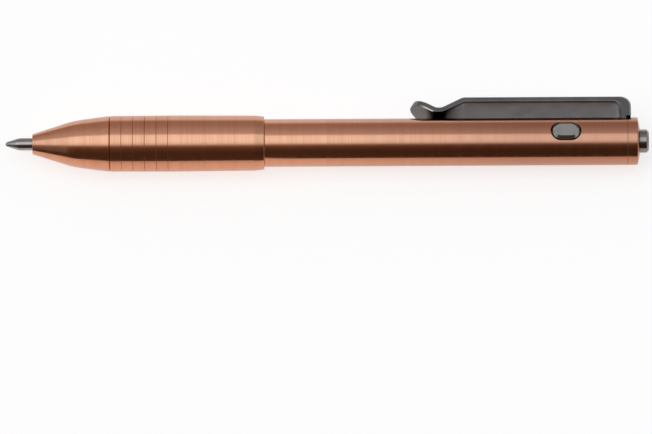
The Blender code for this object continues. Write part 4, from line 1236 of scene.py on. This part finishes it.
def light_studio():
    """The studio's light by the angle from the front horizon, up and over to the back.

    The angle is the arctangent of up over front. By degrees, there is the dark front of
    the room, a softbox overhead and a wall behind that darkens before its bright foot.
    The colours are linear, as the softbox is a little brighter than white. The camera
    sees plain white.
    """
    world = bpy.data.worlds.new("studio")
    bpy.context.scene.world = world
    tree = cleared(world)
    way = add_node(tree, "ShaderNodeTexCoord").outputs["Generated"]
    parts = add_node(tree, "ShaderNodeSeparateXYZ", {"Vector": way}).outputs
    front = add_node(tree, "ShaderNodeMath", {0: parts["Y"], 1: -1.0}, operation="MULTIPLY")
    angle = add_node(tree, "ShaderNodeMath", {0: parts["Z"], 1: front}, operation="ARCTAN2")
    # The softbox reaches further round towards both ends of the pen: the angle from its
    # middle is drawn in by 0.23 of the direction's part along the pen.
    middle_angle = math.radians(76)
    side = add_node(tree, "ShaderNodeMath", {0: parts["X"]}, operation="ABSOLUTE")
    narrow = add_node(tree, "ShaderNodeMath", {0: side, 1: -0.23, 2: 1.0}, operation="MULTIPLY_ADD")
    off = add_node(tree, "ShaderNodeMath", {0: angle, 1: -middle_angle}, operation="ADD")
    drawn_in = add_node(
        tree, "ShaderNodeMath", {0: off, 1: narrow, 2: middle_angle}, operation="MULTIPLY_ADD"
    )
    half_turn = {"Value": drawn_in, "From Min": -math.pi, "From Max": math.pi}
    ramp = add_node(
        tree, "ShaderNodeValToRGB", {"Fac": add_node(tree, "ShaderNodeMapRange", half_turn)}
    )
    set_stops(ramp, [((degrees + 180) / 360, colour) for degrees, colour in (
        (-12, (0.066, 0.037, 0.022)),
        (20, (0.055, 0.031, 0.019)),
        (33, (0.077, 0.042, 0.026)),
        (43, (0.118, 0.062, 0.040)),
        (50, (0.19, 0.125, 0.095)),
        (54.5, (0.45, 0.36, 0.33)),
        (59, (0.74, 0.75, 0.77)),
        (67, (0.98, 1.02, 1.06)),
        (80, (1.04, 1.08, 1.12)),
        (96, (0.98, 1.01, 1.04)),
        (100.5, (0.52, 0.46, 0.46)),
        (120, (0.43, 0.37, 0.365)),
        (136, (0.35, 0.28, 0.27)),
        (158, (0.322, 0.228, 0.20)),
        (168, (0.375, 0.288, 0.265)),
        (175, (0.63, 0.60, 0.61)),
    )])
    # The softbox grows dimmer towards the push button. Past both ends of it and of the
    # card the grey room shows.
    dim, beyond = (
        add_node(tree, "ShaderNodeMapRange", span, interpolation_type="SMOOTHSTEP")
        for span in (
            {
                "Value": parts["X"], "From Min": 0.06, "From Max": 0.55,
                "To Min": 1.0, "To Max": 0.25,
            },
            {"Value": side, "From Min": 0.50, "From Max": 0.84},
        )
    )
    dimmed = add_node(tree, "ShaderNodeVectorMath", {0: ramp, "Scale": dim}, operation="SCALE")
    grey = (0.44, 0.425, 0.42, 1)
    seen = add_node(tree, "ShaderNodeMix", {0: beyond, 6: dimmed, 7: grey}, data_type="RGBA")
    studio, white = (
        add_node(tree, "ShaderNodeBackground", {"Color": colour, "Strength": 1.0})
        for colour in (seen.outputs[2], (1, 1, 1, 1))
    )
    camera_ray = add_node(tree, "ShaderNodeLightPath").outputs["Is Camera Ray"]
    both = add_node(tree, "ShaderNodeMixShader", {0: camera_ray, 1: studio, 2: white})
    add_node(tree, "ShaderNodeOutputWorld", {"Surface": both})


def place_camera():
    """A camera that looks down at 61 degrees on the pen's axis.

    The axis lies above the middle of the picture, so the camera aims below it by the lift
    and is steeper by the arctangent of the lift over the distance. The lens is the sensor's
    width times the distance over the width of what the picture shows.
    """
    picture_width, pixels_per_mm, axis_above_middle = 652, 4.667, 74.3
    distance, seen_width = 1.6, picture_width / pixels_per_mm * MM
    lift = axis_above_middle / pixels_per_mm * MM
    elevation = math.radians(61) + math.atan(lift / distance)
    view = Vector((0, -math.cos(elevation), math.sin(elevation)))
    up = Vector((0, math.sin(elevation), math.cos(elevation)))
    aim = Vector((-0.2 * MM, AXIS.y, AXIS.z)) - up * lift
    data = bpy.data.cameras.new("camera")
    data.lens = data.sensor_width * distance / seen_width
    data.clip_start, data.clip_end = 0.01, 20
    camera = new_object("camera", data)
    turn = Matrix((Vector((1, 0, 0)), up, view)).transposed().to_4x4()
    roll = Matrix.Rotation(math.radians(-0.3), 4, "Z")
    camera.matrix_world = Matrix.Translation(aim + view * distance) @ turn @ roll
    bpy.context.scene.camera = camera


class PEN_OT_stage(bpy.types.Operator):
    """Floor, studio light and camera"""

    bl_idname = "pen.stage"
    bl_label = "Stage"

    def execute(self, context):
        lay_floor()
        lay_dark_card()
        light_studio()
        place_camera()
        context.scene.view_settings.view_transform = "Standard"
        return {"FINISHED"}


class PEN_PT_panel(bpy.types.Panel):
    """The pen's sizes and colours and its building steps"""

    bl_idname = "PEN_PT_panel"
    bl_label = "Click pen"
    bl_space_type = "VIEW_3D"
    bl_region_type = "UI"
    bl_category = "Pen"

    def draw(self, context):
        for settings in (context.scene.pen_sizes, context.scene.pen_colours):
            for name in type(settings).__annotations__:
                self.layout.prop(settings, name)
        for operator in OPERATORS:
            self.layout.operator(operator.bl_idname)


OPERATORS = (
    PEN_OT_grip,
    PEN_OT_barrel,
    PEN_OT_end_cap,
    PEN_OT_clip,
    PEN_OT_push_button,
    PEN_OT_side_buttons,
    PEN_OT_refill,
    PEN_OT_leaf_springs,
    PEN_OT_catch,
    PEN_OT_seal,
    PEN_OT_inner_pieces,
    PEN_OT_stage,
)
CLASSES = (PenSizes, PenColours, *OPERATORS, PEN_PT_panel)


def register():
    """Add the pen's classes and settings to Blender."""
    for made in CLASSES:
        bpy.utils.register_class(made)
    bpy.types.Scene.pen_sizes = PointerProperty(type=PenSizes)
    bpy.types.Scene.pen_colours = PointerProperty(type=PenColours)


def unregister():
    """Take the pen's classes and settings out again."""
    del bpy.types.Scene.pen_sizes
    del bpy.types.Scene.pen_colours
    for made in reversed(CLASSES):
        bpy.utils.unregister_class(made)


def main():
    """Build the whole pen and its stage."""
    register()
    bpy.ops.pen.grip()
    bpy.ops.pen.barrel()
    bpy.ops.pen.end_cap()
    bpy.ops.pen.clip()
    bpy.ops.pen.push_button()
    bpy.ops.pen.side_buttons()
    bpy.ops.pen.refill()
    bpy.ops.pen.leaf_springs()
    bpy.ops.pen.catch()
    bpy.ops.pen.seal()
    bpy.ops.pen.inner_pieces()
    bpy.ops.pen.stage()


if __name__ == "__main__":
    main()
